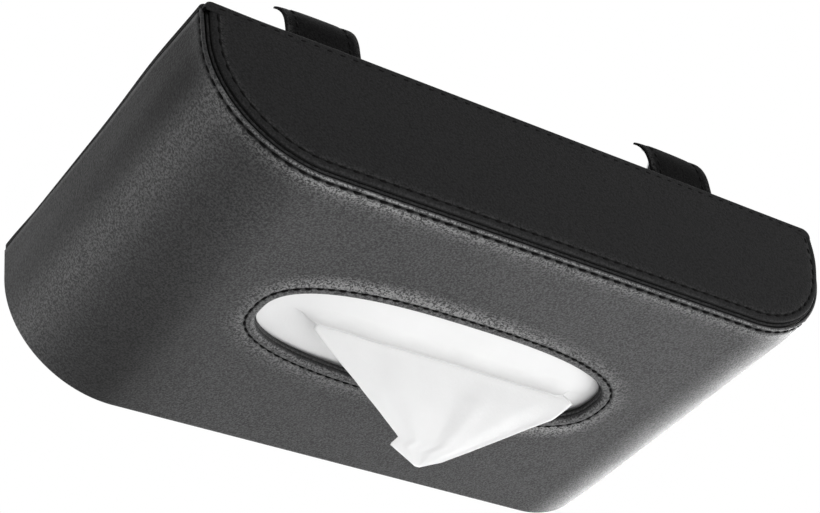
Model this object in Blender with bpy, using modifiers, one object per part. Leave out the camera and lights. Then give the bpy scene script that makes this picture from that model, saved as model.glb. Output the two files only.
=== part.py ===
"""Car tissue holder that hangs under a sun visor.

A leather-covered case with rounded lower corners holds a pack of folded tissues. A sheet is pulled down through a
long stitched slot in the lower face. The near long side is a flap on a leather hinge, shut by three magnets, where
the pack goes in. Two sprung clips on the back plate grip the visor: each is a steel strip, with a leather cover on
its upright part.

The origin is the middle of the back plate's outer face. X runs along the case, Y from the flap to the far side and
Z up to the visor. All sizes are in metres.
"""

import math

import bmesh
import bpy

# Case
CASE_LENGTH = 0.230
CASE_WIDTH = 0.122
CASE_HEIGHT = 0.0495
END_WALL_HEIGHT = 0.0125
PLATE_CORNER_RADIUS = 0.004
PANEL_TOP_RADIUS = 0.004

# Layers
LEATHER_THICKNESS = 0.0009
BOARD_THICKNESS = 0.0014
LINING_THICKNESS = 0.0004
GLUE_GAP = 0.0003
SEAM_GAP = 0.0004
CUT_OVERRUN = 0.002

# Edges of the case
SKIRT_DEPTH = 0.0020
RIM_THICKNESS = 0.0012
RIM_DEPTH = 0.0013
RIM_PROUD = 0.0002
LEATHER_EDGE_RADIUS = 0.0003
PANEL_EDGE_RADIUS = 0.0007

# Tissue slot
SLOT_END_MARGIN = 0.0157
SLOT_WIDTH = 0.0384
SLOT_CENTRE_X = -0.0015
SLOT_CENTRE_Y = -0.0019
SLOT_POWER = 2.62
SLOT_BINDING_WIDTH = 0.0028
SLOT_BINDING_PROUD = 0.0003
SLOT_FRAME_WIDTH = 0.0075
SLOT_FRAME_THICKNESS = 0.0010
SLOT_FRAME_LEDGE = 0.0004

# Flap and its magnets
FLAP_BOARD_THICKNESS = 0.0012
HINGE_BEAD_RADIUS = 0.0009
LIP_WIDTH = 0.010
MAGNET_RADIUS = 0.004
MAGNET_THICKNESS = 0.0010
MAGNET_END_INSET = 0.045
MAGNET_CLEARANCE = 0.0003

# Visor clips
CLIP_LEFT_INSET = 0.0435
CLIP_RIGHT_INSET = 0.0490
CLIP_SETBACK = 0.0057
SPRING_THICKNESS = 0.0008
SPRING_WIDTH = 0.022
SPRING_NECK_WIDTH = 0.007
SPRING_PADDLE_WIDTH = 0.014
SPRING_CLEARANCE = 0.0004
UPRIGHT_HEIGHT = 0.0110
HEAD_RADIUS = 0.012
HEAD_TURN = math.radians(48)
CREST_RADIUS = 0.003
CREST_TURN = math.radians(87)
DROP_LENGTH = 0.0057
SWEEP_RADIUS = 0.022
SWEEP_TURN = math.radians(35)
ARM_LENGTH = 0.026
TIP_RADIUS = 0.008
TIP_TURN = math.radians(45)
TIP_LENGTH = 0.004
COVER_WIDTH = 0.026
COVER_THICKNESS = 0.0010
COVER_TIP_THICKNESS = 0.00035
COVER_FOOT = 0.0009
PAD_LENGTH = 0.012
PAD_WIDTH = 0.009
PAD_THICKNESS = 0.0010
BRACKET_LENGTH = 0.026
CLIP_SLIT_LENGTH = 0.024
CLIP_SLIT_WIDTH = 0.0032
RIVET_SPACING = 0.013
RIVET_SETBACK = 0.021
RIVET_SHANK_RADIUS = 0.0015
RIVET_HEAD_RADIUS = 0.0035
RIVET_HEAD_HEIGHT = 0.0007
RIVET_TAIL_RADIUS = 0.0026
RIVET_TAIL_HEIGHT = 0.0007

# Tissues
PACK_END_ROOM = 0.029
PACK_SIDE_ROOM = 0.013
PACK_TOP_ROOM = 0.0175
PACK_ROUNDING = 0.006
POCKET_END_MARGIN = 0.0103
POCKET_WIDTH = 0.012
POCKET_ROOF = 0.004
SHEET_THICKNESS = 0.0008
SHEET_CLEARANCE = 0.0003
SHEET_DROP = 0.0354
SHEET_LEAN = 0.005
SHEET_FOLD_DEPTH = 0.0026
SHEET_FOLDS = 2.5

# Counts for round forms
ARC_STEPS = 12
SMALL_ARC_STEPS = 4
SLOT_STEPS = 64
HOLE_STEPS = 16
SHEET_COLUMNS = 22

# Places worked out from the sizes above
CORNER_RADIUS = CASE_HEIGHT - END_WALL_HEIGHT
BOARD_INSET = LEATHER_THICKNESS + GLUE_GAP
LINING_INSET = BOARD_INSET + BOARD_THICKNESS + GLUE_GAP
INNER_INSET = LINING_INSET + LINING_THICKNESS
PANEL_INSET = BOARD_INSET + RIM_THICKNESS + SEAM_GAP
WRAP_TOP = -(SKIRT_DEPTH + GLUE_GAP)
BOARDS_TOP = -(INNER_INSET + GLUE_GAP)
WRAP_EDGE = CASE_WIDTH / 2
RIM_FACE = WRAP_EDGE + RIM_PROUD
BOARD_EDGE = RIM_FACE - RIM_DEPTH - GLUE_GAP
PANEL_BACK = BOARD_EDGE + SEAM_GAP
PANEL_DEPTH = LEATHER_THICKNESS + FLAP_BOARD_THICKNESS + LINING_THICKNESS + 2 * GLUE_GAP
PANEL_FACE = PANEL_BACK + PANEL_DEPTH
PANEL_TOP = -(SKIRT_DEPTH + SEAM_GAP)
HINGE_Y = -(WRAP_EDGE + GLUE_GAP + HINGE_BEAD_RADIUS)
HINGE_Z = -HINGE_BEAD_RADIUS
CLIP_Y = -(WRAP_EDGE - CLIP_SETBACK)
CLIP_PIVOT_Z = -LEATHER_THICKNESS
SLOT_LENGTH = CASE_LENGTH - 2 * (CORNER_RADIUS + SLOT_END_MARGIN)
POCKET_LENGTH = SLOT_LENGTH - 2 * POCKET_END_MARGIN
MAGNET_SPACING = CASE_LENGTH / 2 - MAGNET_END_INSET
CLIP_LEFT_X = -(CASE_LENGTH / 2 - CLIP_LEFT_INSET)
CLIP_RIGHT_X = CASE_LENGTH / 2 - CLIP_RIGHT_INSET
PACK_LENGTH = CASE_LENGTH - 2 * PACK_END_ROOM
PACK_WIDTH = CASE_WIDTH - 2 * PACK_SIDE_ROOM
PACK_HEIGHT = CASE_HEIGHT - PACK_TOP_ROOM
POCKET_DEPTH = PACK_HEIGHT - POCKET_ROOF
PACK_BOTTOM = -CASE_HEIGHT + INNER_INSET + SLOT_FRAME_THICKNESS + 2 * GLUE_GAP

OBJECT_NAME = "car_tissue_holder"

# Colour, roughness and metallic value of each material
FINISHES = {
    "black_leather": ((0.045, 0.045, 0.048), 0.55, 0.0),
    "clip_leather": ((0.020, 0.020, 0.022), 0.60, 0.0),
    "grey_board": ((0.30, 0.28, 0.25), 0.90, 0.0),
    "black_lining": ((0.015, 0.015, 0.016), 0.95, 0.0),
    "black_plastic": ((0.03, 0.03, 0.03), 0.50, 0.0),
    "spring_steel": ((0.42, 0.42, 0.43), 0.35, 1.0),
    "magnet_plating": ((0.62, 0.61, 0.58), 0.25, 1.0),
    "black_felt": ((0.02, 0.02, 0.02), 1.0, 0.0),
    "white_tissue": ((0.90, 0.90, 0.90), 0.90, 0.0),
}


def clear_scene():
    for item in list(bpy.data.objects):
        bpy.data.objects.remove(item, do_unlink=True)


def collection(name):
    made = bpy.data.collections.new(name)
    bpy.context.scene.collection.children.link(made)
    return made


def material(name):
    made = bpy.data.materials.get(name)
    if made is None:
        colour, roughness, metallic = FINISHES[name]
        made = bpy.data.materials.new(name)
        made.use_nodes = True
        shader = made.node_tree.nodes["Principled BSDF"]
        shader.inputs["Base Color"].default_value = (*colour, 1.0)
        shader.inputs["Roughness"].default_value = roughness
        shader.inputs["Metallic"].default_value = metallic
        made.diffuse_color = (*colour, 1.0)
    return made


def finish(item, name, finish_name, smooth=False):
    """Names a piece, gives it its material and files it with the parts."""
    item.name = name
    item.data.name = name
    item.data.materials.clear()
    item.data.materials.append(material(finish_name))
    for group in list(item.users_collection):
        group.objects.unlink(item)
    PARTS.objects.link(item)
    if smooth:
        item.data.shade_smooth()
        item.data.set_sharp_from_angle(angle=math.radians(40))
    return item


def as_cutter(item):
    for group in list(item.users_collection):
        group.objects.unlink(item)
    CUTTERS.objects.link(item)
    item.hide_render = True
    item.display_type = "WIRE"
    return item


def mesh_object(name, work):
    mesh = bpy.data.meshes.new(name)
    work.to_mesh(mesh)
    work.free()
    item = bpy.data.objects.new(name, mesh)
    bpy.context.scene.collection.objects.link(item)
    return item


def prism(name, outlines, low, high, across="Z"):
    """A flat outline with its holes, given thickness from low to high along Z, or along Y for an upright one.

    An upright outline's points are x and z, a level one's x and y.
    """
    curve = bpy.data.curves.new(name, "CURVE")
    curve.dimensions = "2D"
    curve.fill_mode = "BOTH"
    curve.extrude = (high - low) / 2
    for outline in outlines:
        spline = curve.splines.new("POLY")
        spline.points.add(len(outline) - 1)
        for point, (u, v) in zip(spline.points, outline):
            point.co = (u, v, 0, 1)
        spline.use_cyclic_u = True
    drawn = bpy.data.objects.new(name, curve)
    bpy.context.scene.collection.objects.link(drawn)
    middle = (low + high) / 2
    if across == "Y":
        drawn.rotation_euler.x = math.radians(90)
        drawn.location.y = middle
    else:
        drawn.location.z = middle
    bpy.context.view_layer.update()
    evaluated = drawn.evaluated_get(bpy.context.evaluated_depsgraph_get())
    mesh = bpy.data.meshes.new_from_object(evaluated)
    work = bmesh.new()
    work.from_mesh(mesh)
    bmesh.ops.remove_doubles(work, verts=work.verts, dist=1e-7)
    bmesh.ops.recalc_face_normals(work, faces=work.faces)
    work.to_mesh(mesh)
    work.free()
    solid = bpy.data.objects.new(name, mesh)
    bpy.context.scene.collection.objects.link(solid)
    solid.matrix_world = drawn.matrix_world
    bpy.data.objects.remove(drawn, do_unlink=True)
    return solid


def loft(name, sections, ring=False):
    """A solid through closed sections of as many points each, joined end to end when ring is set."""
    work = bmesh.new()
    loops = [[work.verts.new(point) for point in section] for section in sections]
    pairs = list(zip(loops, loops[1:]))
    if ring:
        pairs.append((loops[-1], loops[0]))
    for first, second in pairs:
        count = len(first)
        for k in range(count):
            after = (k + 1) % count
            work.faces.new((first[k], first[after], second[after], second[k]))
    if not ring:
        work.faces.new(loops[0])
        work.faces.new(reversed(loops[-1]))
    bmesh.ops.recalc_face_normals(work, faces=work.faces)
    return mesh_object(name, work)


def turned(name, profile, steps):
    """A turned solid: its profile runs down the outer side, from the top of the axis to the foot."""
    work = bmesh.new()
    points = [work.verts.new((radius, 0, height)) for radius, height in profile]
    for upper, lower in zip(points, points[1:]):
        work.edges.new((upper, lower))
    item = mesh_object(name, work)
    screw = item.modifiers.new("turn", "SCREW")
    screw.steps = steps
    screw.render_steps = steps
    screw.use_merge_vertices = True
    screw.merge_threshold = 1e-6
    return item


def round_edges(item, width, segments):
    bevel = item.modifiers.new("round edges", "BEVEL")
    bevel.width = width
    bevel.segments = segments
    bevel.limit_method = "ANGLE"
    bevel.angle_limit = math.radians(50)
    return item


def cut(item, cutter):
    boolean = item.modifiers.new("cut", "BOOLEAN")
    boolean.operation = "DIFFERENCE"
    boolean.solver = "EXACT"
    boolean.object = as_cutter(cutter)
    return item


def pivot(name, x, y, z):
    empty = bpy.data.objects.new(name, None)
    empty.location = (x, y, z)
    PARTS.objects.link(empty)
    return empty


def hang_on(item, parent):
    item.parent = parent
    item.location -= parent.location
    return item


def arc(centre_u, centre_v, radius, start, end, steps):
    """Points along an arc, from start to end in degrees."""
    points = []
    for k in range(steps + 1):
        angle = math.radians(start + (end - start) * k / steps)
        points.append((centre_u + radius * math.cos(angle), centre_v + radius * math.sin(angle)))
    return points


def case_line(inset, top):
    """The case's end view at an inset from its outside: down the left end, along the face and up the right end."""
    side = CASE_LENGTH / 2 - inset
    centre_x = CASE_LENGTH / 2 - CORNER_RADIUS
    centre_z = -CASE_HEIGHT + CORNER_RADIUS
    radius = CORNER_RADIUS - inset
    left = arc(-centre_x, centre_z, radius, 180, 270, ARC_STEPS)
    right = arc(centre_x, centre_z, radius, 270, 360, ARC_STEPS)
    return [(-side, top), *left, *right, (side, top)]


def case_band(outer, inner, top):
    return case_line(outer, top) + case_line(inner, top)[::-1]


def panel_outline(inset, top):
    """A side panel: the case's line closed along the top, with its two upper corners rounded."""
    side = CASE_LENGTH / 2 - inset
    radius = PANEL_TOP_RADIUS
    right = arc(side - radius, top - radius, radius, 0, 90, SMALL_ARC_STEPS)
    left = arc(radius - side, top - radius, radius, 90, 180, SMALL_ARC_STEPS)
    return case_line(inset, top - radius)[1:-1] + right + left


def plate_outline(inset):
    """The back plate seen from above."""
    half_x = CASE_LENGTH / 2 - inset
    half_y = CASE_WIDTH / 2 - inset
    radius = PLATE_CORNER_RADIUS - inset
    points = []
    for sign_x, sign_y, start in ((1, 1, 0), (-1, 1, 90), (-1, -1, 180), (1, -1, 270)):
        centre_x = sign_x * (half_x - radius)
        centre_y = sign_y * (half_y - radius)
        points += arc(centre_x, centre_y, radius, start, start + 90, SMALL_ARC_STEPS)
    return points


def slot_outline(growth):
    """The slot's rounded oval, grown outwards."""
    half_x = SLOT_LENGTH / 2 + growth
    half_y = SLOT_WIDTH / 2 + growth
    power = 2 / SLOT_POWER
    points = []
    for k in range(SLOT_STEPS):
        angle = 2 * math.pi * k / SLOT_STEPS
        cosine = math.cos(angle)
        sine = math.sin(angle)
        x = half_x * math.copysign(abs(cosine) ** power, cosine)
        y = half_y * math.copysign(abs(sine) ** power, sine)
        points.append((SLOT_CENTRE_X + x, SLOT_CENTRE_Y + y))
    return points


def circle(centre_u, centre_v, radius):
    return arc(centre_u, centre_v, radius, 0, 360, HOLE_STEPS)[:-1]


def rectangle(low_u, high_u, low_v, high_v):
    return [(low_u, low_v), (high_u, low_v), (high_u, high_v), (low_u, high_v)]


def clip_centres():
    return {"left": CLIP_LEFT_X, "right": CLIP_RIGHT_X}


def rivet_places():
    y = CLIP_Y + RIVET_SETBACK
    return [(x + side * RIVET_SPACING / 2, y) for x in clip_centres().values() for side in (-1, 1)]


def plate_holes(rivet_radius):
    """Holes through a layer of the back plate: a slit for each clip, and round ones for the rivets."""
    holes = []
    for x in clip_centres().values():
        half_x = CLIP_SLIT_LENGTH / 2
        half_y = CLIP_SLIT_WIDTH / 2
        holes.append(rectangle(x - half_x, x + half_x, CLIP_Y - half_y, CLIP_Y + half_y))
    for x, y in rivet_places():
        holes.append(circle(x, y, rivet_radius + GLUE_GAP))
    return holes


def slot_cutter(name):
    face = -CASE_HEIGHT
    growth = SLOT_BINDING_WIDTH + GLUE_GAP
    return prism(name, [slot_outline(growth)], face - CUT_OVERRUN, face + INNER_INSET + CUT_OVERRUN)


# Wrap: ends and dispensing face
def make_wrap():
    leather = prism("wrap_leather", [case_band(0, LEATHER_THICKNESS, WRAP_TOP)], -WRAP_EDGE, WRAP_EDGE, "Y")
    round_edges(leather, LEATHER_EDGE_RADIUS, 1)
    cut(leather, slot_cutter("slot_cutter_leather"))
    finish(leather, "wrap_leather", "black_leather")

    lining = prism("wrap_lining", [case_band(LINING_INSET, INNER_INSET, BOARDS_TOP)], -BOARD_EDGE, BOARD_EDGE, "Y")
    cut(lining, slot_cutter("slot_cutter_lining"))
    finish(lining, "wrap_lining", "black_lining")


def make_boards():
    outer = BOARD_INSET
    inner = BOARD_INSET + BOARD_THICKNESS
    seam_x = CASE_LENGTH / 2 - CORNER_RADIUS
    for side, name in ((-1, "end_board_left"), (1, "end_board_right")):
        lines = []
        for inset in (outer, inner):
            points = case_line(inset, BOARDS_TOP)
            half = points[:len(points) // 2] if side < 0 else points[len(points) // 2:][::-1]
            lines.append(half)
        board = prism(name, [lines[0] + lines[1][::-1]], -BOARD_EDGE, BOARD_EDGE, "Y")
        finish(board, name, "grey_board")

    half_x = seam_x - GLUE_GAP
    sheet = rectangle(-half_x, half_x, -BOARD_EDGE, BOARD_EDGE)
    hole = slot_outline(SLOT_BINDING_WIDTH + GLUE_GAP)
    face = prism("face_board", [sheet, hole], -CASE_HEIGHT + outer, -CASE_HEIGHT + inner)
    finish(face, "face_board", "grey_board")


def make_rims():
    """The bound edges that show between the wrap and each side panel."""
    outline = case_band(BOARD_INSET, BOARD_INSET + RIM_THICKNESS, BOARDS_TOP)
    inner = RIM_FACE - RIM_DEPTH
    near = prism("near_rim", [outline], -RIM_FACE, -inner, "Y")
    finish(near, "near_rim", "black_leather")
    far = prism("far_rim", [outline], inner, RIM_FACE, "Y")
    finish(far, "far_rim", "black_leather")


def make_slot():
    """The leather binding through the slot's edge, and the plastic frame that stiffens it inside."""
    low = -CASE_HEIGHT - SLOT_BINDING_PROUD
    high = -CASE_HEIGHT + INNER_INSET
    rounding = SLOT_BINDING_WIDTH / 4
    inside = slot_outline(0)
    inside_round = slot_outline(rounding)
    outside_round = slot_outline(SLOT_BINDING_WIDTH - rounding)
    outside = slot_outline(SLOT_BINDING_WIDTH)
    sections = []
    for k in range(SLOT_STEPS):
        sections.append([
            (*inside[k], high),
            (*inside[k], low + rounding),
            (*inside_round[k], low),
            (*outside_round[k], low),
            (*outside[k], low + rounding),
            (*outside[k], high),
        ])
    finish(loft("slot_binding", sections, ring=True), "slot_binding", "black_leather", smooth=True)

    frame_low = high + GLUE_GAP
    frame = prism(
        "slot_frame",
        [slot_outline(SLOT_FRAME_WIDTH), slot_outline(-SLOT_FRAME_LEDGE)],
        frame_low,
        frame_low + SLOT_FRAME_THICKNESS,
    )
    finish(frame, "slot_frame", "black_plastic")


# Back plate
def make_back_plate():
    leather = prism("back_leather", [plate_outline(0)], -SKIRT_DEPTH, 0)
    round_edges(leather, LEATHER_EDGE_RADIUS, 1)
    pocket = prism("back_pocket", [plate_outline(LEATHER_THICKNESS)], -SKIRT_DEPTH - CUT_OVERRUN, -LEATHER_THICKNESS)
    cut(leather, pocket)
    for number, hole in enumerate(plate_holes(RIVET_HEAD_RADIUS), start=1):
        cut(leather, prism(f"back_hole_{number}", [hole], -SKIRT_DEPTH, CUT_OVERRUN))
    finish(leather, "back_leather", "black_leather")

    top = -BOARD_INSET
    outlines = [plate_outline(BOARD_INSET), *plate_holes(RIVET_SHANK_RADIUS)]
    board = prism("back_board", outlines, top - BOARD_THICKNESS, top)
    finish(board, "back_board", "grey_board")

    lining_top = -LINING_INSET
    lining = prism("back_lining", outlines, lining_top - LINING_THICKNESS, lining_top)
    finish(lining, "back_lining", "black_lining")


# Side panels
def panel_tray(name, side):
    """A leather tray, open towards the case. Side is -1 for the near panel and 1 for the far one."""
    faces = sorted((side * PANEL_BACK, side * PANEL_FACE))
    tray = prism(name, [panel_outline(PANEL_INSET, PANEL_TOP)], faces[0], faces[1], "Y")
    round_edges(tray, PANEL_EDGE_RADIUS, 2)
    inset = PANEL_INSET + LEATHER_THICKNESS
    depth = sorted((side * (PANEL_BACK - CUT_OVERRUN), side * (PANEL_FACE - LEATHER_THICKNESS)))
    pocket = prism(name + "_pocket", [panel_outline(inset, PANEL_TOP - LEATHER_THICKNESS)], depth[0], depth[1], "Y")
    cut(tray, pocket)
    return finish(tray, name, "black_leather")


def panel_layer(name, side, back, thickness, finish_name, holes=()):
    inset = PANEL_INSET + LEATHER_THICKNESS + GLUE_GAP
    outline = panel_outline(inset, PANEL_TOP - LEATHER_THICKNESS - GLUE_GAP)
    faces = sorted((side * back, side * (back + thickness)))
    return finish(prism(name, [outline, *holes], faces[0], faces[1], "Y"), name, finish_name)


def magnet_places():
    z = -CASE_HEIGHT + INNER_INSET + LIP_WIDTH / 2
    return [(k * MAGNET_SPACING, z) for k in (-1, 0, 1)]


def disc(name, x, y, z, thickness, finish_name):
    bpy.ops.mesh.primitive_cylinder_add(
        vertices=HOLE_STEPS,
        radius=MAGNET_RADIUS,
        depth=thickness,
        location=(x, y, z),
        rotation=(math.radians(90), 0, 0),
    )
    return finish(bpy.context.object, name, finish_name, smooth=True)


def make_far_panel():
    panel_tray("far_leather", 1)
    panel_layer("far_lining", 1, PANEL_BACK, LINING_THICKNESS, "black_lining")
    back = PANEL_BACK + LINING_THICKNESS + GLUE_GAP
    panel_layer("far_board", 1, back, FLAP_BOARD_THICKNESS, "grey_board")


def make_flap():
    axis = pivot("flap_pivot", 0, HINGE_Y, HINGE_Z)
    hang_on(panel_tray("flap_leather", -1), axis)
    hang_on(panel_layer("flap_lining", -1, PANEL_BACK, LINING_THICKNESS, "black_lining"), axis)
    back = PANEL_BACK + LINING_THICKNESS + GLUE_GAP
    holes = [circle(x, z, MAGNET_RADIUS + MAGNET_CLEARANCE) for x, z in magnet_places()]
    hang_on(panel_layer("flap_board", -1, back, FLAP_BOARD_THICKNESS, "grey_board", holes), axis)
    middle = -(back + FLAP_BOARD_THICKNESS / 2)
    for number, (x, z) in enumerate(magnet_places(), start=1):
        magnet = disc(f"flap_magnet_{number}", x, middle, z, MAGNET_THICKNESS, "magnet_plating")
        hang_on(magnet, axis)


def make_flap_seat():
    """What stays on the case where the flap shuts: the lip, its steel discs and the hinge bead."""
    outer = INNER_INSET + GLUE_GAP
    inner = outer + LIP_WIDTH
    side = CASE_LENGTH / 2 - inner
    floor = -CASE_HEIGHT + inner
    opening = [(side, BOARDS_TOP), (side, floor), (-side, floor), (-side, BOARDS_TOP)]
    outline = case_line(outer, BOARDS_TOP) + opening
    holes = [circle(x, z, MAGNET_RADIUS + MAGNET_CLEARANCE) for x, z in magnet_places()]
    inside = -BOARD_EDGE + BOARD_THICKNESS
    lip = prism("opening_lip", [outline, *holes], -BOARD_EDGE, inside, "Y")
    finish(lip, "opening_lip", "black_lining")
    middle = -BOARD_EDGE + BOARD_THICKNESS / 2
    for number, (x, z) in enumerate(magnet_places(), start=1):
        disc(f"catch_disc_{number}", x, middle, z, MAGNET_THICKNESS, "spring_steel")

    length = CASE_LENGTH - 2 * PLATE_CORNER_RADIUS
    bpy.ops.mesh.primitive_cylinder_add(
        vertices=HOLE_STEPS,
        radius=HINGE_BEAD_RADIUS,
        depth=length,
        location=(0, HINGE_Y, HINGE_Z),
        rotation=(0, math.radians(90), 0),
    )
    finish(bpy.context.object, "hinge_bead", "black_leather", smooth=True)


# Visor clips
def trace(y, z, heading, moves):
    """Points along a bent strip, each with its heading. A move is a length, the angle it turns and its steps."""
    points = [(y, z, heading)]
    for length, turn, steps in moves:
        for _ in range(steps):
            middle = heading + turn / steps / 2
            chord = length / steps
            if turn:
                half = turn / steps / 2
                chord *= math.sin(abs(half)) / abs(half)
            y += chord * math.cos(middle)
            z += chord * math.sin(middle)
            heading += turn / steps
            points.append((y, z, heading))
    return points


def strip(name, centre_x, stations):
    """A bent strip. Each station is y, z, heading, half width and its two faces' distances from the line."""
    sections = []
    for y, z, heading, half, low, high in stations:
        across_y = -math.sin(heading)
        across_z = math.cos(heading)
        section = []
        for side, off in ((-1, low), (1, low), (1, high), (-1, high)):
            section.append((centre_x + side * half, y + across_y * off, z + across_z * off))
        sections.append(section)
    return loft(name, sections)


def head_moves():
    return [(UPRIGHT_HEIGHT, 0, 1), (HEAD_RADIUS * HEAD_TURN, -HEAD_TURN, ARC_STEPS // 2)]


def arm_moves():
    return [
        (CREST_RADIUS * CREST_TURN, -CREST_TURN, ARC_STEPS // 2),
        (DROP_LENGTH, 0, 1),
        (SWEEP_RADIUS * SWEEP_TURN, SWEEP_TURN, ARC_STEPS // 2),
        (ARM_LENGTH, 0, 3),
        (TIP_RADIUS * TIP_TURN, TIP_TURN, ARC_STEPS // 3),
        (TIP_LENGTH, 0, 1),
    ]


def spring_stations():
    half_thickness = SPRING_THICKNESS / 2
    start = CLIP_PIVOT_Z - SPRING_CLEARANCE / 2
    head = trace(CLIP_Y, start, math.radians(90), head_moves())
    arm = trace(*head[-1], arm_moves())
    stations = [(*point, SPRING_WIDTH / 2, -half_thickness, half_thickness) for point in head]
    crest = ARC_STEPS // 2
    for k, point in enumerate(arm[1:], start=1):
        flare = max(0, k - crest - 1) / (len(arm) - 1 - crest - 1)
        width = SPRING_NECK_WIDTH + (SPRING_PADDLE_WIDTH - SPRING_NECK_WIDTH) * min(1, 2 * flare)
        stations.append((*point, width / 2, -half_thickness, half_thickness))
    return stations


def make_spring(name, centre_x):
    return finish(strip(name, centre_x, spring_stations()), name, "spring_steel")


def make_cover(name, centre_x):
    """The leather on the outside of the clip's upright, pared thin towards its tip."""
    start = CLIP_PIVOT_Z - SPRING_CLEARANCE / 2
    foot = COVER_FOOT - start
    head = trace(CLIP_Y, start, math.radians(90), [
        (foot, 0, 1),
        (UPRIGHT_HEIGHT - foot, 0, 1),
        (HEAD_RADIUS * HEAD_TURN, -HEAD_TURN, ARC_STEPS),
    ])[1:]
    inner = SPRING_THICKNESS / 2 + GLUE_GAP
    stations = []
    for k, point in enumerate(head):
        along = max(0, k - 1) / (len(head) - 2)
        thickness = COVER_THICKNESS + (COVER_TIP_THICKNESS - COVER_THICKNESS) * along ** 2
        stations.append((*point, COVER_WIDTH / 2, inner, inner + thickness))
    return finish(strip(name, centre_x, stations), name, "clip_leather", smooth=True)


def make_pad(name, centre_x):
    """The felt pad under the arm, where it presses on the visor."""
    start = CLIP_PIVOT_Z - SPRING_CLEARANCE / 2
    line = trace(CLIP_Y, start, math.radians(90), head_moves() + arm_moves()[:4])
    y, z, heading = line[-1]
    outer = -(SPRING_THICKNESS / 2 + GLUE_GAP + PAD_THICKNESS)
    inner = -(SPRING_THICKNESS / 2 + GLUE_GAP)
    stations = []
    for back in (PAD_LENGTH, 0):
        place = (y - back * math.cos(heading), z - back * math.sin(heading), heading)
        stations.append((*place, PAD_WIDTH / 2, outer, inner))
    return finish(strip(name, centre_x, stations), name, "black_felt")


def make_bracket(name, centre_x):
    """The spring's fixed foot: flat under the back plate, with a leg up into the plate's slit."""
    top = BOARDS_TOP
    low = top - SPRING_THICKNESS
    leg_top = CLIP_PIVOT_Z - SPRING_CLEARANCE * 1.5
    leg_face = CLIP_Y - SPRING_THICKNESS / 2
    end = CLIP_Y + BRACKET_LENGTH
    half = SPRING_WIDTH / 2
    outline = [
        (leg_face, low), (end, low), (end, top), (leg_face + SPRING_THICKNESS, top),
        (leg_face + SPRING_THICKNESS, leg_top), (leg_face, leg_top),
    ]
    sections = [[(centre_x + side * half, y, z) for y, z in outline] for side in (-1, 1)]
    bracket = loft(name, sections)
    hole_low = low - CUT_OVERRUN
    hole_high = top + CUT_OVERRUN
    for side in (-1, 1):
        x = centre_x + side * RIVET_SPACING / 2
        y = CLIP_Y + RIVET_SETBACK
        hole = circle(x, y, RIVET_SHANK_RADIUS + GLUE_GAP)
        cut(bracket, prism(f"{name}_hole_{side}", [hole], hole_low, hole_high))
    return finish(bracket, name, "spring_steel")


def make_rivet(name, x, y):
    """One solid rivet: a low domed head let into the leather, a shank and a formed tail inside."""
    head_low = -BOARD_INSET + GLUE_GAP
    tail_top = BOARDS_TOP - SPRING_THICKNESS - GLUE_GAP
    profile = [
        (0, head_low + RIVET_HEAD_HEIGHT),
        (RIVET_HEAD_RADIUS * 0.6, head_low + RIVET_HEAD_HEIGHT * 0.8),
        (RIVET_HEAD_RADIUS, head_low + RIVET_HEAD_HEIGHT * 0.25),
        (RIVET_HEAD_RADIUS, head_low),
        (RIVET_SHANK_RADIUS, head_low),
        (RIVET_SHANK_RADIUS, tail_top),
        (RIVET_TAIL_RADIUS, tail_top),
        (RIVET_TAIL_RADIUS, tail_top - RIVET_TAIL_HEIGHT * 0.6),
        (0, tail_top - RIVET_TAIL_HEIGHT),
    ]
    rivet = turned(name, profile, HOLE_STEPS)
    rivet.location = (x, y, 0)
    return finish(rivet, name, "spring_steel", smooth=True)


def make_clips():
    for side, centre_x in clip_centres().items():
        axis = pivot(f"clip_{side}_pivot", centre_x, CLIP_Y, CLIP_PIVOT_Z)
        hang_on(make_spring(f"clip_spring_{side}", centre_x), axis)
        hang_on(make_cover(f"clip_cover_{side}", centre_x), axis)
        hang_on(make_pad(f"clip_pad_{side}", centre_x), axis)
        make_bracket(f"clip_bracket_{side}", centre_x)
    for number, (x, y) in enumerate(rivet_places(), start=1):
        make_rivet(f"clip_rivet_{number}", x, y)


# Tissues
def make_pack():
    bpy.ops.mesh.primitive_cube_add(size=1, location=(0, 0, PACK_BOTTOM + PACK_HEIGHT / 2))
    pack = bpy.context.object
    pack.scale = (PACK_LENGTH, PACK_WIDTH, PACK_HEIGHT)
    bpy.ops.object.transform_apply(location=False, rotation=False, scale=True)
    round_edges(pack, PACK_ROUNDING, 3)
    half_x = POCKET_LENGTH / 2
    half_y = POCKET_WIDTH / 2
    pocket = prism(
        "pack_pocket",
        [rectangle(-half_x, half_x, -half_y, half_y)],
        PACK_BOTTOM - CUT_OVERRUN,
        PACK_BOTTOM + POCKET_DEPTH,
    )
    cut(pack, pocket)
    finish(pack, "tissue_pack", "white_tissue")


def sheet_rows():
    """The sheet from its top in the pack to its tip: height, left and right edge, and how far it leans out.

    Below the face the height is a share of the drop, and each edge a share of half the slot's length.
    """
    face = -CASE_HEIGHT
    half = SLOT_LENGTH / 2
    inner_half = POCKET_LENGTH / 2 - POCKET_WIDTH / 2
    top = PACK_BOTTOM + POCKET_DEPTH - SHEET_CLEARANCE
    rows = [
        (top, -inner_half, inner_half, 0),
        (PACK_BOTTOM, -inner_half, inner_half, 0),
    ]
    shares = [
        (0.00, -0.674, 0.851),
        (0.08, -0.634, 0.802),
        (0.20, -0.565, 0.722),
        (0.38, -0.461, 0.536),
        (0.58, -0.350, 0.337),
        (0.77, -0.242, 0.144),
        (0.86, -0.294, 0.050),
        (0.90, -0.252, 0.013),
        (1.00, -0.150, -0.125),
    ]
    for drop_share, left_share, right_share in shares:
        rows.append((face - drop_share * SHEET_DROP, left_share * half, right_share * half, drop_share * SHEET_LEAN))
    return rows


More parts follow.
